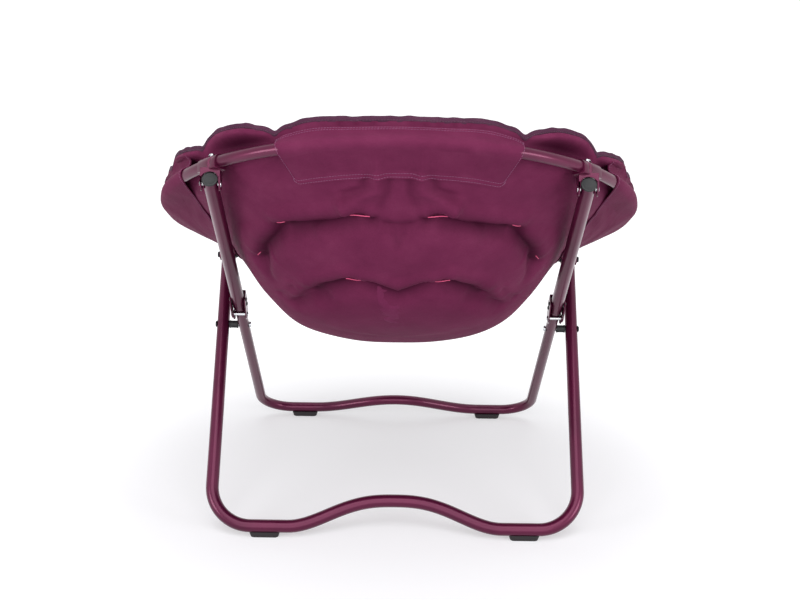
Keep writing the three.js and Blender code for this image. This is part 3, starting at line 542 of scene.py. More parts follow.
# The seat's surface. Each section is a line of knots from the middle of the bucket out to its rim, as shares
# of the seat's radius and depth; the sides and the rear have their own, outside and inside
side_outer_shares = [
    (0, -1), (0.245, -0.99), (0.45, -0.89), (0.59, -0.665),
    (0.71, -0.38), (0.825, -0.145), (0.92, -0.045), (0.98, 0.03),
]
side_inner_shares = [
    (0, -0.86), (0.235, -0.845), (0.41, -0.75), (0.515, -0.56),
    (0.625, -0.28), (0.76, -0.01), (0.87, 0.1), (0.925, 0.155),
]
rear_outer_shares = [
    (0, -1), (0.24, -0.97), (0.44, -0.87), (0.6, -0.7),
    (0.74, -0.5), (0.86, -0.29), (0.945, -0.12), (0.985, 0.02),
]
rear_inner_shares = [
    (0, -0.86), (0.235, -0.83), (0.41, -0.74), (0.545, -0.6),
    (0.675, -0.42), (0.79, -0.22), (0.875, -0.07), (0.91, 0.05),
]
seat_radius = hoop_half_width - seat_inset
rim_radius = hoop_half_width
seat_length_share = (hoop_half_length - hoop_past_rim) / rim_radius
seat_forward = 0.043
rim_inset = 0.018
rim_crown = 0.007
section_length = 0.565
# The rim's height over the hoop, at degrees from the rear, as a share of the seat's depth
rim_height_shares = [
    (0, 0.158), (10, 0.16), (15, 0.171), (20, 0.173), (25, 0.145), (27.8, 0.128),
    (31, 0.158), (36, 0.206), (41, 0.223), (46, 0.214), (50.5, 0.15),
    (54, 0.16), (58, 0.182), (62, 0.197), (66, 0.203), (70, 0.152),
    (75, 0.169), (84, 0.175), (93, 0.165), (100, 0.129),
    (107, 0.155), (120, 0.16), (133, 0.15), (140, 0.121),
    (147, 0.143), (160, 0.156), (172, 0.158), (180, 0.15),
]


def eased(table, value):
    """A smooth line through a table of places and heights, level at both ends."""
    x, y = np.array(table, float).T
    slope = np.zeros_like(y)
    slope[1:-1] = (y[2:] - y[:-2]) / (x[2:] - x[:-2])
    k = np.clip(np.searchsorted(x, value, side="right"), 1, len(x) - 1)
    width = x[k] - x[k - 1]
    t = np.clip((value - x[k - 1]) / width, 0, 1)
    risen = t * t * (3 - 2 * t)
    line = y[k - 1] + (y[k] - y[k - 1]) * risen
    return line + width * (slope[k - 1] * t * (1 - t) ** 2 - slope[k] * t * t * (1 - t))


def from_rear(degrees):
    """Degrees round from the rear middle, either way."""
    return np.abs((degrees + 180) % 360 - 180)


# The rim's puffs, in degrees from the rear on either side, and the pinches between them with their depths
puff_places = [(28.5, 50), (51, 69.5), (70.5, 99.5), (100.5, 139.5)]
rim_pinches = [(27.8, 0.0045), (50.5, 0.004), (70, 0.003), (100, 0.003), (140, 0.002)]


def rim_height(degrees):
    """The rim above the hoop's plane: a row of puffs between pinches, from the rear to the front."""
    away = from_rear(degrees)
    height = seat_depth * eased(rim_height_shares, away)
    for pinched_at, depth in rim_pinches:
        height = height - depth * np.exp(-(((away - pinched_at) / 1.1) ** 2))
    return height


def on_section(shares, rim, along):
    """Places on a smooth section through the knots and the rim, as Catmull and Rom's formula has it."""
    knots = np.array(shares) * (seat_radius, seat_depth)
    last = len(knots)
    k = np.clip((along * last).astype(int), 0, last - 1)
    t = (along * last - k)[..., None]

    def knot(i):
        i = np.clip(i, 0, last)
        return np.where((i < last)[..., None], knots[np.minimum(i, last - 1)], rim)

    p0, p1, p2, p3 = (knot(k + step) for step in (-1, 0, 1, 2))
    v0, v1 = (p2 - p0) / 2, (p3 - p1) / 2
    return (2 * p1 - 2 * p2 + v0 + v1) * t ** 3 + (-3 * p1 + 3 * p2 - 2 * v0 - v1) * t * t + v0 * t + p1


def seat_surface(degrees, along, depth=0.0):
    """Points of the seat in the seat frame: depth 0 is the outside cloth, and 1 the fullest padding."""
    degrees, along, depth = np.broadcast_arrays(*(np.asarray(v, float) for v in (degrees, along, depth)))
    angle = np.radians(degrees)
    rim = rim_height(degrees)
    rearness = (np.maximum(0, np.cos(angle)) ** 1.5)[..., None]
    outer_rim = np.stack([np.full_like(rim, rim_radius), rim], -1)
    inner_rim = outer_rim + (-rim_inset, rim_crown)
    outer_side = on_section(side_outer_shares, outer_rim, along)
    inner_side = on_section(side_inner_shares, inner_rim, along)
    outer = outer_side + (on_section(rear_outer_shares, outer_rim, along) - outer_side) * rearness
    inner = inner_side + (on_section(rear_inner_shares, inner_rim, along) - inner_side) * rearness
    out, up = np.moveaxis(outer + (inner - outer) * depth[..., None], -1, 0)
    forward = seat_forward * np.maximum(0, 1 - (out / seat_radius) ** 2)
    return np.stack([out * np.sin(angle), (out * np.cos(angle) - forward) * seat_length_share, up], -1)


def outward(degrees, along, depth=0.0):
    """The direction out of the seat's cloth at this place."""
    step, turn = 0.004, 0.5
    along = np.clip(along, 0.03, 1.0)
    above = seat_surface(degrees, np.minimum(along + step, 1.0), depth)
    up = above - seat_surface(degrees, along - step, depth)
    across = seat_surface(degrees + turn, along, depth) - seat_surface(degrees - turn, along, depth)
    return unit(np.cross(up, across))


def unrolled(degrees, along):
    """The cloth's own flat place, in metres: its distance along the section, laid out round the middle."""
    angle = np.radians(degrees)
    reach = section_length * np.asarray(along, float)
    return np.stack(np.broadcast_arrays(reach * np.sin(angle), reach * np.cos(angle)), -1)


def grid_piece(outer, inner, flat, closed=False, pole=False, shade=None):
    """A closed piece of cloth or padding between two surfaces over one grid, with its own UV map."""
    columns, rows = outer.shape[:2]
    count = columns - 1 if closed else columns
    points = np.concatenate([outer[:count].reshape(-1, 3), inner[:count].reshape(-1, 3)])
    uvs = np.concatenate([flat[:count].reshape(-1, 2)] * 2)
    index = np.arange(2 * count * rows).reshape(2, count, rows)
    if pole:
        index[:, :, 0] = index[:, :1, 0]
    faces = []

    def band(a, b, c, d):
        faces.extend(np.stack([a, b, c, d], -1).reshape(-1, 4).tolist())

    here = np.arange(columns - 1)
    after = (here + 1) % count
    front, back = index
    band(front[here, :-1], front[here, 1:], front[after, 1:], front[after, :-1])
    band(back[here, :-1], back[after, :-1], back[after, 1:], back[here, 1:])
    band(front[here, -1], back[here, -1], back[after, -1], front[after, -1])
    if not pole:
        band(front[here, 0], front[after, 0], back[after, 0], back[here, 0])
    if not closed:
        band(front[0, :-1], back[0, :-1], back[0, 1:], front[0, 1:])
        band(front[-1, :-1], front[-1, 1:], back[-1, 1:], back[-1, :-1])
    piece = from_points(points, [list(dict.fromkeys(face)) for face in faces])
    # Each point's painted shade, which the cloth's material darkens it by; none unless shade is given
    deep = piece.data.attributes.new("fold_shade", "FLOAT", "POINT")
    if shade is not None:
        deep.data.foreach_set("value", np.concatenate([shade[:count].ravel()] * 2).astype(np.float32))
    lay_flat(piece, uvs)
    return piece


def ripple(u, v):
    """A smooth uneven wave over the cloth, from about -1 to 1; u and v are in wavelengths."""
    first = np.sin(2 * np.pi * (u + 0.31 * np.sin(1.7 * v + 0.4)))
    second = np.sin(2 * np.pi * (0.618 * u + 0.77 * v) + 1.3)
    third = np.sin(2 * np.pi * (1.414 * u - 0.37 * v) + 2.9)
    return (first + 0.7 * second + 0.5 * third) / 2.2


# The outer cover is tacked through to the padding. Each tack runs between two places on one side, as (degrees
# from the rear, share along the section), and the other side mirrors it
tack_places = [
    ((8, 0.567), (12.8, 0.589)), ((34.6, 0.565), (38.3, 0.562)),
    ((56.8, 0.475), (61, 0.467)), ((14.7, 0.346), (20.5, 0.371)),
]

# Folds of the cover on one side, which the other side mirrors: how wide each is, how deep its valley and how
# high the ridge above it, in metres, then its line on the cloth
cover_folds = [
    (0.012, 0.0040, 0.0010, [(0, 0.562), (8, 0.567)]),
    (0.009, 0.0150, 0.0050, [(8, 0.567), (12.8, 0.589)]),
    (0.013, 0.0200, 0.0070, [(13.3, 0.585), (21.9, 0.566), (29.4, 0.56), (34.6, 0.563)]),
    (0.010, 0.0120, 0.0040, [(34.6, 0.565), (38.5, 0.562)]),
    (0.014, 0.0190, 0.0050, [(38.5, 0.562), (41.8, 0.541), (47.1, 0.521), (51.5, 0.508), (57.9, 0.48)]),
    (0.009, 0.0110, 0.0030, [(56.8, 0.475), (61, 0.467)]),
    (0.010, 0.0055, 0.0000, [(60.5, 0.466), (60.4, 0.443), (61.3, 0.415)]),
    (0.013, 0.0160, 0.0060, [(41, 0.344), (34.2, 0.352), (21.6, 0.364)]),
    (0.009, 0.0075, 0.0035, [(56, 0.325), (49, 0.336), (41, 0.344)]),
    (0.006, 0.0040, 0.0020, [(66, 0.352), (58, 0.349), (52, 0.36)]),
    (0.009, 0.0130, 0.0040, [(14.7, 0.346), (20.5, 0.371)]),
    (0.011, 0.0150, 0.0050, [(14, 0.35), (7.7, 0.33), (1.3, 0.31), (0, 0.307)]),
    (0.011, 0.0080, 0.0030, [(60.6, 0.318), (47.4, 0.318), (37.7, 0.317)]),
    (0.006, 0.0035, 0.0010, [(6, 0.29), (0, 0.285)]),
    (0.010, -0.0110, 0.0, [(25, 0.534), (19.7, 0.561), (14.4, 0.592), (14.8, 0.618)]),
    (0.008, -0.0075, 0.0, [(5.4, 0.735), (5.7, 0.656), (14.1, 0.621)]),
    (0.007, 0.0045, 0.0, [(8.2, 0.71), (8.9, 0.665), (13.5, 0.645)]),
    (0.006, 0.0040, 0.0, [(2.6, 0.70), (3.0, 0.645), (4.6, 0.60)]),
    (0.005, 0.0040, 0.0015, [(3.5, 0.55), (0, 0.55)]),
    (0.005, 0.0035, 0.0, [(3.5, 0.55), (0, 0.471)]),
    (0.010, -0.0040, 0.0, [(41, 0.50), (50, 0.455), (57, 0.43)]),
]


def pleats(degrees):
    """Narrow ridges where cloth is gathered into a seam, at uneven spaces round the rim; 1 on a ridge. They
    are about 3.4 degrees apart, and half a degree to either side."""
    wide, spread = 3.4, 0.5
    number = np.floor(degrees / wide)
    ridges = np.zeros(np.shape(degrees))
    for near in (-1, 0, 1):
        cell = (number + near) % round(360 / wide)
        crest = (number + near + 0.5 + 0.3 * np.sin(12.9 * cell)) * wide
        ridges += (0.65 + 0.35 * np.sin(7.1 * cell)) * np.exp(-(((degrees - crest) / spread) ** 2))
    return ridges


def beside_line(places, line):
    """How far places on the flat cloth are outward from a line of points, and how far beyond its ends."""
    points = unrolled(*np.array(line, float).T)
    away = np.full(places.shape[:-1], 1e3)
    above = np.zeros(away.shape)
    for a, b in zip(points, points[1:]):
        along = np.clip(((places - a) @ (b - a)) / ((b - a) @ (b - a)), 0, 1)
        on_line = a + along[..., None] * (b - a)
        distance = np.linalg.norm(places - on_line, axis=-1)
        further = np.linalg.norm(places, axis=-1) - np.linalg.norm(on_line, axis=-1)
        above = np.where(distance < away, further, above)
        away = np.minimum(distance, away)
    return above, np.sqrt(np.maximum(away ** 2 - above ** 2, 0))


def between(low, high, value):
    """A smooth swell from nothing at low to 1 half-way and back to nothing at high."""
    return np.sin(np.pi * np.clip((value - low) / (high - low), 0, 1)) ** 2


# The lobes at the back: from and to along the section, and how far each swells
back_lobes = [(0.0, 0.355, 0.003), (0.355, 0.57, 0.006), (0.57, 0.9, 0.003)]
behind_ends = 66
deepest_tuck = 0.0135
lowest_hang = 0.009
# Each of the rim's puffs swells just under the binding and tucks in below that
puff_swell = 0.009
puff_tuck = 0.011
gather_height = 0.0034
cover_thickness = 0.0012
padding_gap = 0.0006


def cover_offset(degrees, along):
    """How far the outer cover stands off its plain form, outwards, and how far its folds hang down, in
    metres; then how much painted shade each place gets, from 0 to 1, most deep in the folds and under the
    puffs."""
    degrees, along = np.broadcast_arrays(np.asarray(degrees, float), np.asarray(along, float))
    away = from_rear(degrees)
    behind = 1 / (1 + np.exp((away - behind_ends) / 4))
    offset = np.zeros(degrees.shape)
    hang = np.zeros(degrees.shape)
    shade = np.zeros(degrees.shape)
    for low, high, swell in back_lobes:
        t = np.clip((along - low) / (high - low), 0, 1)
        offset += swell * behind * np.sin(np.pi * t) ** 0.8
    places = unrolled(away, along)
    near = away < 100
    for width, depth, ridge, line in cover_folds:
        above, beyond = beside_line(places[near], line)
        above = above + (1.2 * width - 0.45 * depth if ridge else 0)
        spread = np.where(above > 0, width, 1.8 * width)
        fades = np.exp(-((beyond / width / 1.3) ** 2))
        risen = ridge * np.exp(-(((above - 1.4 * width) / width) ** 2))
        offset[near] += (risen - depth * np.exp(-((above / spread) ** 2))) * fades
        # Painted shade: a dark band just above each valley, as strong as the fold is deep, for the shade that
        # falls in it
        if depth > 0:
            dark = np.exp(-(((above - 0.25 * width) / (0.9 * spread)) ** 2))
            dark *= np.exp(-((beyond / width / 1.1) ** 2))
            shade[near] = np.maximum(shade[near], dark * min(1, depth / 0.016))
        if ridge:
            hang[near] += 0.5 * depth * fades * np.exp(-(((above - 0.8 * width) / (0.85 * width)) ** 2))
    for low, high in puff_places:
        puff = between(low, high, away) ** 0.5
        swell = puff_swell * np.exp(-(((along - 0.972) / 0.022) ** 2))
        tuck = puff_tuck * np.exp(-(((along - 0.925) / 0.02) ** 2))
        offset += puff * (swell - tuck)
        # Painted shade in the tuck under each puff, just above the hoop
        shade = np.maximum(shade, puff * np.exp(-(((along - 0.93) / 0.03) ** 2)))
    flat = unrolled(degrees, along)
    offset += 0.0007 * ripple(flat[..., 0] / 0.11, flat[..., 1] / 0.13)
    # Pleats under the binding, where the cloth is gathered into it
    gathered = np.clip((along - 0.965) / 0.035, 0, 1)
    offset += gather_height * gathered * pleats(degrees)
    offset = np.where(offset < 0, deepest_tuck * np.tanh(offset / deepest_tuck), offset)
    return offset, np.minimum(hang, lowest_hang), shade


def cover_surface(degrees, along, inwards=0.0):
    """Points on the outer cover, or this far inside it."""
    offset, hang, _ = cover_offset(degrees, along)
    along = along - hang / section_length
    return seat_surface(degrees, along) + outward(degrees, along) * (offset - inwards)[..., None]


cover_columns = np.array(steps(-75, 75, 260)[:-1] + steps(75, 285, 130))[:, None]
cover_rows = np.array(steps(0, 1, 124))[None, :]
cover = grid_piece(
    cover_surface(cover_columns, cover_rows),
    cover_surface(cover_columns, cover_rows, cover_thickness),
    unrolled(cover_columns, cover_rows), closed=True, pole=True,
    shade=cover_offset(cover_columns, cover_rows)[2],
)
done(cover, "seat_cover", seat_frame, "seat_hoop", cover_canvas, ["seat_shell"], angle=60)


def folds_flat(piece):
    """Gives the piece a mesh of its own, and returns it."""
    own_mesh(piece)
    return piece


folds_flat(cover)

# The quilted panels inside: the cloth's depth at a seam and at its fullest, as shares of the padding
seam_gap = 0.0014
sewn_depth = 0.45
full_depth = 0.9


def pad(node, start, end, low, high, columns, rows):
    """A stuffed panel between its seams, in a crowned form to be blown up; returns it and which of its points
    are free to move."""
    whole_ring = end - start > 359
    across = np.array(steps(start, end, columns))[:, None]
    down = np.array(steps(low, high, rows))[None, :]
    inset = seam_gap / 2 / seat_radius
    by = np.degrees(inset / np.maximum(down, 0.05))
    angles = across + 0 * down if whole_ring else np.clip(across, start + by, end - by)
    alongs = np.clip(down + 0 * across, low + inset if low else 0, high - inset)
    u = (across - start) / (end - start)
    v = (down - low) / (high - low)
    if low == 0:
        crown = sewn_depth + (full_depth - sewn_depth) * np.sqrt(np.maximum(0, 1 - v ** 4)) + 0 * across
    else:
        swell = np.maximum(0, 16 * u * (1 - u) * v * (1 - v)) ** 0.45
        crown = sewn_depth + (full_depth - sewn_depth) * swell
    outer = cover_surface(angles, alongs, cover_thickness + padding_gap)
    piece = grid_piece(
        seat_surface(angles, alongs, crown), outer, unrolled(angles, alongs),
        closed=whole_ring, pole=low == 0,
    )
    done(piece, node + "_cloth", seat_frame, "seat_hoop", pad_canvas, [node], angle=60)
    count = columns if whole_ring else columns + 1
    free = np.zeros((2, count, rows + 1), bool)
    free[0, :, 0 if low == 0 else 2:-2] = True
    if not whole_ring:
        free[0, :2] = free[0, -2:] = False
    return piece, free.ravel()


def blow_up(pads, most):
    """Fills the panels: their bowl side is cloth a little too big for its seams, blown up from inside. No
    place moves further than the most, in metres."""
    before = []
    for piece, free in pads:
        before.append(np.array([v.co[:] for v in piece.data.vertices]))
        sewn = piece.vertex_groups.new(name="sewn")
        loose = np.array([free[i] if i < len(free) else False for i in range(len(before[-1]))])
        sewn.add(np.nonzero(~loose)[0].tolist(), 1.0, "REPLACE")
        settings = piece.modifiers.new("blown", "CLOTH").settings
        settings.quality = 5
        settings.mass = 0.25
        settings.tension_stiffness = 12
        settings.compression_stiffness = 12
        settings.shear_stiffness = 4
        settings.bending_stiffness = 0.4
        settings.shrink_min = -0.045
        settings.use_pressure = True
        settings.uniform_pressure_force = 4
        settings.vertex_group_mass = "sewn"
        settings.effector_weights.gravity = 0
    for step in range(1, 21):
        bpy.context.scene.frame_set(step)
    for (piece, free), start in zip(pads, before):
        pick(piece)
        bpy.ops.object.modifier_apply(modifier="blown")
        moved = np.array([v.co[:] for v in piece.data.vertices]) - start
        length = np.linalg.norm(moved, axis=1, keepdims=True)
        moved *= most * np.tanh(length / most) / np.maximum(length, 1e-9)
        piece.data.vertices.foreach_set("co", (start + moved).astype(np.float32).ravel())
        piece.data.update()
    bpy.context.scene.frame_set(1)


rim_seam = 0.575
base_seam = 0.35
rim_pads = [
    ("rim_pad_front_left", 220, 260), ("rim_pad_side_left", 260, 309.5), ("rim_pad_rear_left", 309.5, 332.2),
    ("rim_pad_rear", 332.2, 387.8), ("rim_pad_rear_right", 387.8, 410.5), ("rim_pad_side_right", 410.5, 460),
    ("rim_pad_front_right", 460, 500), ("rim_pad_front", 500, 580),
]
ring_pads = [
    ("side_pad_left", 245, 317), ("back_pad", 317, 403),
    ("side_pad_right", 403, 475), ("front_pad", 475, 605),
]
pads = []
for node, start, end in rim_pads:
    pads.append(pad(node, start, end, rim_seam, 1.0, max(16, round((end - start) * 0.9)), 36))
for node, start, end in ring_pads:
    pads.append(pad(node, start, end, base_seam, rim_seam, round((end - start) * 0.7), 24))
pads.append(pad("base_pad", 0, 360, 0.0, base_seam, 120, 30))
blow_up(pads, 0.009)
for piece, _ in pads:
    folds_flat(piece)

# Stitches, longer than the real ones so that they show
stitch_length = 0.0036
stitch_pitch = 0.0048
stitch_radius = 0.00045


def stitch_row(line, normals):
    """A row of stitches along a line of points on the cloth: one is modelled, then copied along the row."""
    stitch = rod(6, stitch_radius, stitch_length, (0, math.pi / 2, 0))
    bpy.ops.object.transform_apply(location=True, rotation=True, scale=True)
    bpy.ops.object.mode_set(mode="EDIT")
    bpy.ops.mesh.select_all(action="SELECT")
    bpy.ops.mesh.bevel(offset=stitch_radius * 0.6, segments=1)
    bpy.ops.object.mode_set(mode="OBJECT")
    form = np.array([v.co[:] for v in stitch.data.vertices])
    shape = [list(f.vertices) for f in stitch.data.polygons]
    bpy.data.objects.remove(stitch)
    ways = ways_along(line)
    middles = np.arange(stitch_pitch / 2, ways[-1], stitch_pitch)
    start = points_at(middles - stitch_length / 2, ways, line)
    end = points_at(middles + stitch_length / 2, ways, line)
    ahead = unit(end - start)
    up = points_at(middles, ways, normals)
    up = unit(up - (up * ahead).sum(-1, keepdims=True) * ahead)
    turns = np.stack([ahead, np.cross(up, ahead), up], -1)
    points = np.einsum("nij,mj->nmi", turns, form) + ((start + end) / 2 + up * stitch_radius * 0.3)[:, None]
    faces = [[v + len(form) * i for v in face] for i in range(len(middles)) for face in shape]
    return from_points(points.reshape(-1, 3), faces)


def stitched(name, rows, thread=seam_thread, folding=True):
    """Rows of stitches as one piece; each row is a line with its normals."""
    piece = join_pieces([stitch_row(line, normals) for line, normals in rows])
    done(piece, name, seat_frame, "seat_hoop", thread, angle=60)
    return folds_flat(piece) if folding else piece


# Sleeves of the cover that hold the hoop
sleeve_lift = 0.0014
sleeve_gap = 0.0012
sleeve_wall = 0.0014
sleeve_slack = 0.001
hem_share = 0.03
laid_from = 0.93
round_steps = 16


def round_the_hoop(degrees, reach, turn):
    """Points round the hoop's tube: turn 0 is its outer side, and 90 degrees its top."""
    away, turn = spokes(degrees), np.radians(turn)
    middle = away * (hoop_half_width, hoop_half_length, 0)
    return middle + away * (reach * np.cos(turn))[..., None] + (reach * np.sin(turn))[..., None] * (0, 0, 1)


def sleeve_lines(degrees, leaves_at, hem_along, hugs=0.0, sewn=(0.978, 0.945), meets_at=100):
    """The path of a sleeve at each angle: sewn above the hoop, round its tube and down to the hem on the
    cover. Where it hugs, its skirt lies on the cover; elsewhere it is stretched straight to the hem."""
    def on_shell(along):
        return cover_surface(degrees, along, -sleeve_lift - sleeve_wall)

    lines = [
        cover_surface(degrees, sewn[0] + 0 * degrees, -sleeve_wall - 0.0003),
        on_shell(sewn[1] + 0 * degrees),
    ]
    for i in range(round_steps + 1):
        share = i / round_steps
        turn = meets_at + (leaves_at - meets_at) * share
        reach = hoop_tube_radius + sleeve_gap + sleeve_wall + sleeve_slack * math.sin(share * math.pi) ** 2
        lines.append(round_the_hoop(degrees, reach + 0 * degrees, turn))
    tube, hem = lines[-1], on_shell(hem_along)
    for share in (0.25, 0.5, 0.75):
        straight = tube + (hem - tube) * share
        laid = on_shell(laid_from + (hem_along - laid_from) * share ** 1.2)
        lines.append(straight + (laid - straight) * hugs * min(1, 2 * share))
    lines += [hem, on_shell(hem_along - hem_share)]
    return np.stack(lines, 1)


def evenly(lines, count, shorter):
    """Each column's path again with evenly spaced, softened points, less what its hem's corner takes off."""
    result = []
    for line, less in zip(lines, shorter):
        ways = ways_along(line)
        even = np.linspace(0, ways[-1], count)
        column = evened(points_at(even, ways, line), 3)
        result.append(points_at(np.linspace(0, ways[-1] - less, count), even, column))
    return np.array(result)


def grid_normals(grid):
    """The direction out of a grid's cloth."""
    return unit(np.cross(np.gradient(grid, axis=0), np.gradient(grid, axis=1)))


def grid_flat(grid):
    """A UV map in metres for a grid: how far each point is along its row and its column."""
    across = np.linalg.norm(np.diff(grid, axis=0), axis=-1)
    down = np.linalg.norm(np.diff(grid, axis=1), axis=-1)
    u = np.concatenate([[0], np.cumsum(across.mean(1))])
    v = np.concatenate([[0], np.cumsum(down.mean(0))])
    return np.stack(np.meshgrid(u, v, indexing="ij"), -1)


def hung_cloth(name, grid, node, folding=True):
    """A sheet of the cover from a grid of its outer face."""
    normals = grid_normals(grid)
    piece = grid_piece(grid, grid - normals * sleeve_wall, grid_flat(grid))
    done(piece, name, seat_frame, "seat_hoop", cover_canvas, [node], angle=60)
    return folds_flat(piece) if folding else piece


def line_on(cloth, column=None, row=None, inset=0.0):
    """A line of points with its normals along a column or row of a grid, some way in from the edge and just
    proud of the cloth."""
    grid, normals = cloth
    if row is not None:
        grid, normals = grid.swapaxes(0, 1), normals.swapaxes(0, 1)
    steps_in = np.linalg.norm(np.diff(grid, axis=0), axis=-1).mean(1)
    ways = np.concatenate([[0], np.cumsum(steps_in)])
    where = inset if 0 in (row, column) else ways[-1] - inset
    i = min(np.searchsorted(ways, where), len(ways) - 1)
    t = (where - ways[i - 1]) / (ways[i] - ways[i - 1])
    return grid[i - 1] * (1 - t) + grid[i] * t + normals[i] * 0.0002, normals[i]


# The rear flap: over the hoop between the two rear puffs, down to a double-stitched hem
flap_top_half = 27.8
flap_hem_half = 25.6
flap_corner = 0.012
flap_leaves = -72
flap_hem = 0.743
flap_hem_bow = 0.013
flap_waves = 0.0012
flap_band_end = 30
cloth_rows = 64
down_share = np.linspace(0, 1, cloth_rows)
flap_columns = np.array(steps(-1, 1, 150))
corner_share = flap_corner / (hoop_half_width * math.radians(flap_top_half))
edge = np.clip((np.abs(flap_columns) - 1 + corner_share) / corner_share, 0, 1)
flap_shorter = flap_corner * (1 - np.sqrt(np.maximum(0, 1 - edge ** 2)))
flap_lines = sleeve_lines(
    flap_columns * flap_top_half, flap_leaves, flap_hem - flap_hem_bow * np.abs(flap_columns) ** 1.5,
    sewn=(0.964, 0.952), meets_at=48,
)
flap = evenly(flap_lines, cloth_rows, flap_shorter)
flap_halves = np.interp(down_share, (0, 0.1, 0.35, 1), (flap_top_half, 27.4, 26.5, flap_hem_half))
flap[..., 0] *= flap_halves / flap_top_half
folds_across = ripple(flap_columns[:, None] * 3.3, down_share[None] * 1.2)
folds_across *= np.sin(np.pi * down_share) ** 0.7
hem_thickness = np.clip((down_share - 0.93) / 0.015, 0, 1)
flap += grid_normals(flap) * (flap_waves * (folds_across + hem_thickness + down_share))[..., None]
hung_cloth("rear_flap_band", flap[:, :flap_band_end + 1], "rear_flap", folding=False)
hung_cloth("rear_flap_skirt", flap[:, flap_band_end:], "rear_flap")
normals = grid_normals(flap)
band = flap[:, :flap_band_end], normals[:, :flap_band_end]
skirt = flap[:, flap_band_end + 1:], normals[:, flap_band_end + 1:]
seam_rows = [line_on((flap, normals), row=0, inset=inset) for inset in (0.002, 0.006)]
stitched("rear_flap_seam", seam_rows, folding=False)
hem_rows = [line_on(skirt, row=1, inset=inset) for inset in (0.003, 0.009)]
edge_rows = [line_on(skirt, column=column, inset=0.003) for column in (0, -1)]
stitched("rear_flap_hem_stitches", hem_rows + edge_rows)
edge_rows = [line_on(band, column=column, inset=0.003) for column in (0, -1)]
stitched("rear_flap_edge_stitches", edge_rows, folding=False)

# The side sleeves, from behind the rear puffs round to the front: one is worked out and the other mirrors it
sleeve_start = 56.6
sleeve_end_gap = 0.015
sleeve_band_end = 28
side_hem = 0.55
front_hem = 0.66
columns = np.array(steps(sleeve_start, 180 - sleeve_end_gap, 150))
settled = smoothly(columns, 100, 150)
hugging = smoothly(columns, 100, 70)
leaves_at = -35 - 45 * settled - 35 * hugging
hem_along = side_hem + (front_hem - side_hem) * settled
paths = []
for angle, leave, hem, hugs in zip(columns, leaves_at, hem_along, hugging):
    paths.append(sleeve_lines(np.array([angle]), leave, np.array([hem]), hugs)[0])
sleeve = evenly(np.array(paths), cloth_rows, 0 * columns)
# The rear edge is cut in a curve below the hoop
trim = evened(np.interp(down_share, (0, 0.3, 0.45, 0.65, 1), (0, 0.01, 0.06, 0.15, 0.21)), 8)
from_edge = np.linspace(0, 1, len(columns))
for i in range(cloth_rows):
    sleeve[:, i] = points_at(trim[i] + (1 - trim[i]) * from_edge, from_edge, sleeve[:, i])
below_tube = np.clip((np.arange(cloth_rows) - 32) / 8, 0, 1)[None]
sewn_down = 0.0011 * np.exp(-((from_edge[:, None] / 0.035) ** 2)) * below_tube
wrinkles = 0.0013 * np.exp(-((from_edge[:, None] / 0.13) ** 2)) * below_tube
waves = 0.0010 * ripple(columns[:, None] / 17, 2 * down_share[None])
waves += wrinkles * ripple(from_edge[:, None] * 3, 9 * down_share[None]) - sewn_down
sleeve += grid_normals(sleeve) * waves[..., None]
for word, side in sides:
    grid = sleeve if side > 0 else sleeve[::-1] * (-1, 1, 1)
    node_name = f"side_sleeve_{word}"
    hung_cloth(f"side_sleeve_band_{word}", grid[:, :sleeve_band_end + 1], node_name, folding=False)
    hung_cloth(f"side_sleeve_skirt_{word}", grid[:, sleeve_band_end:], node_name)
    normals = grid_normals(grid)
    rear = 0 if side > 0 else -1
    skirt = grid[:, sleeve_band_end + 1:], normals[:, sleeve_band_end + 1:]
    rows = [line_on(skirt, column=rear, inset=inset) for inset in (0.003, 0.008)]
    stitched(f"side_sleeve_stitches_{word}", rows)
    band = grid[:, :sleeve_band_end], normals[:, :sleeve_band_end]
    stitched(f"side_sleeve_mouth_stitches_{word}", [line_on(band, column=rear, inset=0.004)], folding=False)

# The binding round the rim: a tape folded over the cut edges
binding_half = 0.0026
binding_down = 0.0022
binding_up = 0.0082
tape_step_round = 0.0038
tape_step_across = 0.0018
rim_angles = np.array(steps(180, 540, 720))
rim_edge = seat_surface(rim_angles, 1.0 + 0 * rim_angles, 0.12)
rim_outwards = unit(spokes(rim_angles))


def folded_tape():
    """A tall rounded section swept round the rim."""
    half_height = (binding_up + binding_down) / 2
    middle = (binding_up - binding_down) / 2
    waved = 0.0009 * ripple(rim_angles / 4.7, 0 * rim_angles)
    puckered = 0.0010 * pleats(rim_angles)
    lines = []
    for turn in np.radians(steps(0, 360, 20)[:-1]):
        wide = binding_half * np.sign(np.cos(turn)) * abs(np.cos(turn)) ** 0.55
        tall = half_height * np.sign(np.sin(turn)) * abs(np.sin(turn)) ** 0.8
        up = (middle + tall + waved)[:, None] * (0, 0, 1)
        lines.append(rim_edge + rim_outwards * (wide + puckered)[:, None] + up)
    ring = np.stack(lines, 1)[:-1]
    count, around = ring.shape[:2]
    number = np.arange(count * around).reshape(count, around)
    after = np.roll(number, -1, axis=0)
    quads = np.stack([number, after, np.roll(after, -1, axis=1), np.roll(number, -1, axis=1)], -1)
    flat = np.meshgrid(
        np.arange(count) * tape_step_round, np.arange(around) * tape_step_across, indexing="ij",
    )
    piece = from_points(ring.reshape(-1, 3), quads.reshape(-1, 4).tolist())
    lay_flat(piece, np.stack(flat, -1).reshape(-1, 2))
    return done(piece, "rim_binding_tape", seat_frame, "seat_hoop", binding_tape, ["rim_binding"], angle=60)


folds_flat(folded_tape())
stitch_line = rim_edge + rim_outwards * (binding_half + 0.0002) + (0, 0, 0.0008)
stitched("rim_binding_stitches", [(stitch_line, rim_outwards)], dark_thread)

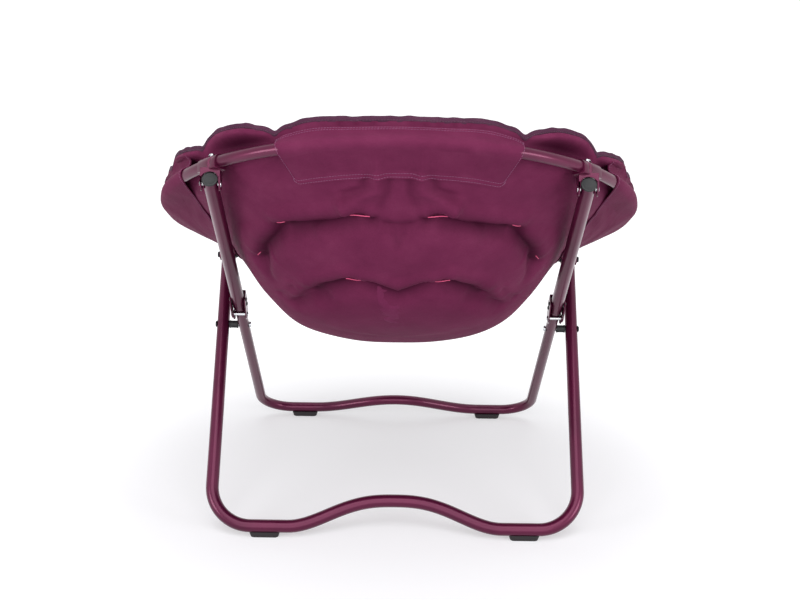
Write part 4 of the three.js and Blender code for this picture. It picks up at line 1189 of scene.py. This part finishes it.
# The tack threads that hold the cover to the padding
threads = []
where = np.array(steps(0, 1, 6))
for start, end in tack_places:
    for _, side in sides:
        degrees = side * (start[0] + (end[0] - start[0]) * where)
        along = start[1] + (end[1] - start[1]) * where
        line = cover_surface(degrees, along + 0.012, -0.0006)
        middle = line[0] + (line[-1] - line[0]) * where[:, None]
        line = 0.4 * line + 0.6 * middle + outward(degrees, along) * (0.0016 * np.sin(np.pi * where))[:, None]
        threads.append(bent_tube(line.tolist(), 0.0007, sides=8))
folds_flat(done(join_pieces(threads), "tack_threads", seat_frame, "seat_hoop", tack_thread, angle=60))


def arc(centre, radius, start, end, count):
    """Points on an arc in the leg's plane, from one angle to another in degrees."""
    return [
        (centre[0] + radius * math.cos(math.radians(t)), 0, centre[1] + radius * math.sin(math.radians(t)))
        for t in steps(start, end, count)
    ]


def leg_points(half, corner, wave, power, top):
    """A U leg: down one side, round a corner, over the raised middle of the foot bar, and up the other
    side."""
    left = [(-half, 0, top), (-half, 0, top / 2)] + arc((-half + corner, corner), corner, 180, 270, 20)
    middle = [
        (wave * share, 0, wave_rise * (1 + math.cos(math.pi * abs(share) ** power)) / 2)
        for share in steps(-1, 1, 60)
    ]
    right = [(-x, y, z) for x, y, z in reversed(left)]
    return left + middle + right


leg_top = rear_leg_to_pivot + leg_top_past
strut_top = front_leg_to_rear_pivot + strut_top_past
rear_leg_path = leg_points(
    rear_half_width, rear_corner_radius, rear_wave_half_width, rear_wave_power, leg_top,
)
front_leg_path = leg_points(
    front_half_width, front_corner_radius, front_wave_half_width, front_wave_power,
    front_leg_to_elbow - leg_end_gap,
)
hoop_path = [
    (hoop_half_width * math.sin(math.radians(a)), hoop_half_length * math.cos(math.radians(a)), 0)
    for a in steps(0, 360, 144)[:-1]
]
rear_leg = bent_tube(rear_leg_path, rear_tube_radius)
done(rear_leg, "rear_leg", rear_frame, "rear_leg", enamel, ["rear_leg_tube"])
front_leg = bent_tube(front_leg_path, front_tube_radius)
done(front_leg, "front_leg", front_frame, "front_leg", enamel, ["front_leg_tube"])
hoop = bent_tube(hoop_path, hoop_tube_radius, closed=True)
done(hoop, "hoop", seat_frame, "seat_hoop", enamel, ["hoop_tube"])
strut_ends = front_leg_to_elbow + strut_end_gap, strut_top
for word, side in sides:
    strut = bent_tube([(side * front_half_width, 0, end) for end in strut_ends], strut_radius)
    done(strut, f"strut_{word}", front_frame, "struts", enamel, [f"strut_tube_{word}"])

unturned = Matrix.Identity(4)


def span(node_name, where=unturned):
    """The lowest and highest corner of a CAD node in a frame of its own."""
    back = where.inverted()
    corners = np.array([(back @ v.co)[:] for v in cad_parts[node_name].data.vertices])
    return Vector(corners.min(0)), Vector(corners.max(0))


def softened(node_name, body, width, without=None):
    """A pressed steel fitting: a copy of the CAD node's form with its sharp edges rounded over; without is a
    piece to cut away from it first."""
    piece = bpy.data.objects.new("form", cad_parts[node_name].data.copy())
    bpy.context.scene.collection.objects.link(piece)
    pick(piece)
    bpy.ops.object.mode_set(mode="EDIT")
    bpy.ops.mesh.select_all(action="SELECT")
    bpy.ops.mesh.remove_doubles(threshold=1e-5)
    bpy.ops.mesh.dissolve_limited(angle_limit=math.radians(1))
    bpy.ops.object.mode_set(mode="OBJECT")
    if without:
        cut_away(piece, without)
    soften(piece, width)
    done(piece, node_name + "_form", unturned, body, enamel, [node_name], angle=40)


def dome(radius, height, shaft):
    """The outline of a domed rivet head, from its tip to its shaft."""
    outline = [(0, 0.22), (0.06, 0.42), (0.2, 0.64), (0.42, 0.82), (0.7, 0.94), (1, 1.0)]
    return [(height * z, radius * r) for z, r in outline] + [(height, shaft)]


def bolt_head(radius, height, shaft, washer=0.0014):
    """The outline of a round bolt head with a deep socket, on a washer."""
    head = height - washer
    socket = [(0.55 * head, 0.2 * radius), (0.5 * head, 0.36 * radius), (0.06 * head, 0.4 * radius)]
    dome_edge = [(0, 0.46), (0, 0.66), (0.15, 0.76), (0.9, 0.8), (1, 0.78), (1, 0.96)]
    return socket + [(head * z, radius * r) for z, r in dome_edge] + [
        (head + 0.2 * washer, radius), (height - 0.2 * washer, radius), (height, 0.96 * radius),
        (height, shaft),
    ]


def both_ends(outline, length, other_end):
    """A pin's outline: one end, a plain shaft and the other end turned round."""
    return outline + [(length - z, r) for z, r in reversed(other_end)]


def headed(node_name, body, finish, outer_end, inner_end):
    """A pin across the fitting, turned from an outline for each end and a plain shaft between them."""
    lowest, highest = span(node_name)
    middle = (lowest + highest) / 2
    side = 1 if middle.x > 0 else -1
    outer_x = highest.x if side > 0 else lowest.x
    piece = turned(both_ends(outer_end, highest.x - lowest.x, inner_end), 32)
    done(piece, node_name + "_turned", along_x(outer_x, middle.y, middle.z, -side), body, finish, [node_name])


# The clevis's back flange hangs from its web and is cut in an arch round the swing of the strut's cap
apron_arch = 0.0168
apron_drop = 0.0145
web_top = -hoop_tube_radius - touch


def clevis_apron(word, side):
    """The flange of one clevis."""
    x = side * front_half_width
    length = 2 * (cap_radius + 3 * touch + bracket_wall) - 0.0002
    y = bracket_back + bracket_half_depth - bracket_wall / 2 + 0.0002
    apron = block(x, y, web_top - 0.0002 - apron_drop / 2, length, bracket_wall, apron_drop)
    cut_away(apron, rod(96, apron_arch, 0.02, (math.pi / 2, 0, 0), (x, y, -pivot_drop)))
    soften(apron, 0.0007)
    node_name = f"rear_clevis_{word}"
    done(apron, node_name + "_apron", seat_frame, "seat_hoop", enamel, [node_name], angle=40)


def upright_lip(side):
    """The room that the flange would take above the web, behind the saddle."""
    y = bracket_back + bracket_half_depth
    lip = block(side * front_half_width, y, 0, 0.0236, 2 * bracket_wall + 0.0002, -2 * web_top)
    lip.matrix_world = seat_frame
    return lip


def end_cap(node_name, radius, lip, where, body):
    """The cap in a strut's top or the plug in a leg's: a lip with a shallow dish."""
    outline = [
        (touch, 0.93), (touch + 0.08 * lip, 0.98), (0.25 * lip, 1.0), (0.7 * lip, 1.0), (0.88 * lip, 0.97),
        (0.98 * lip, 0.9), (lip, 0.8), (0.94 * lip, 0.74), (0.86 * lip, 0.68), (0.84 * lip, 0.3),
    ]
    piece = turned([(z, radius * r) for z, r in outline], 48)
    done(piece, node_name + "_lip", where, body, moulded_black, [node_name])


foot_top = 0.0115
foot_depth = 0.0235
foot_corner = 0.0085
foot_sole = (0.88, 0.8, 1)


def foot_block(node_name, tube_radius, body):
    """A foot: a slim moulded block with round ends under the bar."""
    lowest, highest = span(node_name)
    middle = (lowest + highest) / 2
    foot = block(middle.x, middle.y, foot_top / 2, foot_length, foot_depth, foot_top)
    select_parts(foot, "EDGE", lambda spot, way: abs(way.z) > 0.9)
    bpy.ops.mesh.bevel(offset=foot_corner, segments=6)
    select_parts(foot, "FACE", lambda spot, way: way.z < -0.9)
    bpy.ops.transform.resize(value=foot_sole, center_override=(middle.x, middle.y, 0))
    bpy.ops.object.mode_set(mode="OBJECT")
    soften(foot, 0.0011)
    bar = (middle.x, middle.y, bar_height)
    cut_away(foot, rod(64, tube_radius + touch, 0.1, (0, math.pi / 2, 0), bar))
    done(foot, node_name + "_block", unturned, body, black_rubber, [node_name])


# The ends of the pins and bolts, as (height, radius) from the tip
rivet_end = dome(0.0045, 0.002, 0.0025)
pivot_end = dome(0.006, 0.003, 0.0035)
flush_end = [(0, 0.0016), (0.0002, 0.0024)]
pin_end = [
    (0, 0.0030), (0.0003, 0.0040), (0.0008, 0.0048), (0.0014, 0.0050), (0.0020, 0.0048), (0.0020, 0.0030),
]
flat_end = [(0, 0.004)]
crossing_head = [(0.0024 + z, r) for z, r in bolt_head(0.0070, 0.0026, 0.004, 0.0008)]
crossing_nut = [(0.0018 + z, r) for z, r in bolt_head(0.0070, 0.0032, 0.004, 0.0010)]
pins = [
    ("elbow_upper_rivet_{}_1", "struts", black_oxide_steel, rivet_end, rivet_end),
    ("elbow_upper_rivet_{}_2", "struts", black_oxide_steel, rivet_end, rivet_end),
    ("elbow_lower_rivet_{}", "front_leg", black_oxide_steel, flush_end, flush_end),
    ("elbow_pin_{}", "struts", zinc_steel, pin_end, pin_end),
    ("rear_pivot_rivet_{}", "seat_hoop", zinc_steel, pivot_end, pivot_end),
    (
        "front_pivot_bolt_{}", "seat_hoop", black_oxide_steel,
        bolt_head(0.0075, 0.005, 0.004), bolt_head(0.0072, 0.005, 0.004),
    ),
    ("crossing_bolt_{}", "rear_leg", black_oxide_steel, crossing_head, flat_end),
    ("crossing_bolt_end_{}", "front_leg", zinc_steel, flat_end, crossing_nut),
]
bush_end = [(0, 0.0058), (0.0003, 0.0076), (0.0008, 0.0080), (0.0022, 0.0080), (0.0030, 0.0074)]
saddle_head = bolt_head(0.006, 0.0035, 0.003, 0.0009)
saddle_tip = dome(0.0045, 0.002, 0.003)

for word, side in sides:
    softened(f"front_bracket_{word}", "seat_hoop", 0.0009)
    softened(f"rear_clevis_{word}", "seat_hoop", 0.0007, without=upright_lip(side))
    clevis_apron(word, side)
    softened(f"elbow_upper_channel_{word}", "struts", 0.0006)
    softened(f"elbow_lower_channel_{word}", "front_leg", 0.0004)
    for node_name, body, finish, outer_end, inner_end in pins:
        headed(node_name.format(word), body, finish, outer_end, inner_end)

    # The spacer between the legs: a moulded bush with a rim at each end
    node_name = f"crossing_spacer_{word}"
    lowest, highest = span(node_name)
    spacer = turned(both_ends(bush_end, highest.x - lowest.x, bush_end), 40)
    where = along_x(lowest.x, (lowest.y + highest.y) / 2, (lowest.z + highest.z) / 2)
    done(spacer, node_name + "_bush", where, "rear_leg", moulded_black, [node_name])

    strut_end = front_frame @ Matrix.Translation((side * front_half_width, 0, strut_top))
    end_cap(f"strut_end_cap_{word}", cap_radius, cap_lip, strut_end, "struts")
    leg_end = rear_frame @ Matrix.Translation((side * rear_half_width, 0, leg_top))
    end_cap(f"leg_top_plug_{word}", rear_tube_radius - 0.0002, plug_lip, leg_end, "rear_leg")

    # The bolt that holds the clevis's saddle on the hoop
    node_name = f"saddle_bolt_{word}"
    lowest, highest = span(node_name, seat_frame)
    middle = (lowest + highest) / 2
    bolt = turned(both_ends(saddle_head, highest.z - lowest.z, saddle_tip), 32)
    upside = Matrix.Translation((middle.x, middle.y, highest.z)) @ Matrix.Rotation(math.pi, 4, "X")
    done(bolt, node_name + "_turned", seat_frame @ upside, "seat_hoop", zinc_steel, [node_name])

    foot_block(f"rear_foot_{word}", rear_tube_radius, "rear_leg")
    foot_block(f"front_foot_{word}", front_tube_radius, "front_leg")

# What is left of the solids: the joiner inside the hoop
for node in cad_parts.values():
    if not node.hide_render:
        node.data.materials.clear()
        node.data.materials.append(zinc_steel[1])


def seen_directly(tree):
    """1 for rays of the camera, of a mirror image and through glass, and 0 for those that light a surface."""
    rays = add_node(tree, "ShaderNodeLightPath")
    pair = add_node(
        tree, "ShaderNodeMath", {"operation": "MAXIMUM"},
        links={0: rays.outputs["Is Camera Ray"], 1: rays.outputs["Is Glossy Ray"]},
    )
    every = add_node(
        tree, "ShaderNodeMath", {"operation": "MAXIMUM"},
        links={0: pair.outputs["Value"], 1: rays.outputs["Is Transmission Ray"]},
    )
    return every.outputs["Value"]


# Seamless white paper: matt; a glow that only the camera and mirror images see takes it to white round the
# shadow, more of it further out
ambient = 0.52
floor_glow = 0.43
further_glow = 0.4
glow_from = 0.4
glow_to = 1.15
deselect_all()
bpy.ops.mesh.primitive_plane_add(size=40, location=(0, 0, 0))
floor = bpy.context.object
floor.name = "studio_floor"
floor_paper, tree, bsdf = new_material("seamless_white_paper", Roughness=0.95, Specular_IOR_Level=0.0)
bsdf.inputs["Base Color"].default_value = to_linear("#C8C8CC")
bsdf.inputs["Emission Color"].default_value = (1, 1, 1, 1)
spot = add_node(tree, "ShaderNodeTexCoord").outputs["Object"]
away = add_node(tree, "ShaderNodeVectorMath", {"operation": "LENGTH"}, links={0: spot}).outputs["Value"]
glow_ends = {
    "From Min": glow_from, "From Max": glow_to, "To Min": floor_glow, "To Max": floor_glow + further_glow,
}
spreading = add_node(
    tree, "ShaderNodeMapRange", {"interpolation_type": "SMOOTHSTEP"}, glow_ends, {"Value": away},
).outputs["Result"]
seen_glow = add_node(
    tree, "ShaderNodeMath", {"operation": "MULTIPLY"}, links={0: spreading, 1: seen_directly(tree)},
)
tree.links.new(seen_glow.outputs["Value"], bsdf.inputs["Emission Strength"])
floor.data.materials.append(floor_paper)

# The room: white all round where it is seen, and a plain soft light on the chair
world = bpy.data.worlds.new("white_studio")
bpy.context.scene.world = world
world.use_nodes = True
tree = world.node_tree
background = tree.nodes["Background"]
background.inputs["Color"].default_value = (1, 1, 1, 1)
strength = add_node(
    tree, "ShaderNodeMapRange", inputs={"To Min": ambient, "To Max": 1.0},
    links={"Value": seen_directly(tree)},
)
tree.links.new(strength.outputs["Result"], background.inputs["Strength"])

# Soft square lamps: place, what each faces, size and power
lamps = [
    ("top_softbox", (0, 0.9, 2.7), (0, 0, 0.4), 2.4, 34),
    ("camera_softbox", (0.1, 3.2, 1.5), (0, 0.1, 0.5), 3.0, 40),
    ("left_softbox", (2.3, 1.6, 0.9), (0, 0, 0.5), 1.0, 20),
    ("right_softbox", (-2.3, 1.6, 0.9), (0, 0, 0.5), 1.0, 20),
]
for name, location, target, size, power in lamps:
    deselect_all()
    bpy.ops.object.light_add(type="AREA", location=location)
    lamp = bpy.context.object
    lamp.name = name
    lamp.data.size = size
    lamp.data.energy = power
    lamp.rotation_euler = (Vector(target) - Vector(location)).to_track_quat("-Z", "Y").to_euler()

# The camera behind the chair, as worked out from the foot bars, legs and hoop in the photograph
photo_width = 800
focal_pixels = 1279
shift_pixels = 2.35
camera_tilt = math.radians(90 - 18.1)
camera_roll = math.radians(0.82)
deselect_all()
bpy.ops.object.camera_add(location=(0, 2.366, 1.193))
camera = bpy.context.object
camera.name = "photo_camera"
camera.data.sensor_width = 36
camera.data.lens = focal_pixels / photo_width * 36
camera.data.shift_x = shift_pixels / photo_width
facing = Matrix.Rotation(math.pi, 3, "Z") @ Matrix.Rotation(camera_tilt, 3, "X")
camera.rotation_euler = (facing @ Matrix.Rotation(camera_roll, 3, "Z")).to_euler()
bpy.context.scene.camera = camera
bpy.context.scene.view_settings.view_transform = "Standard"
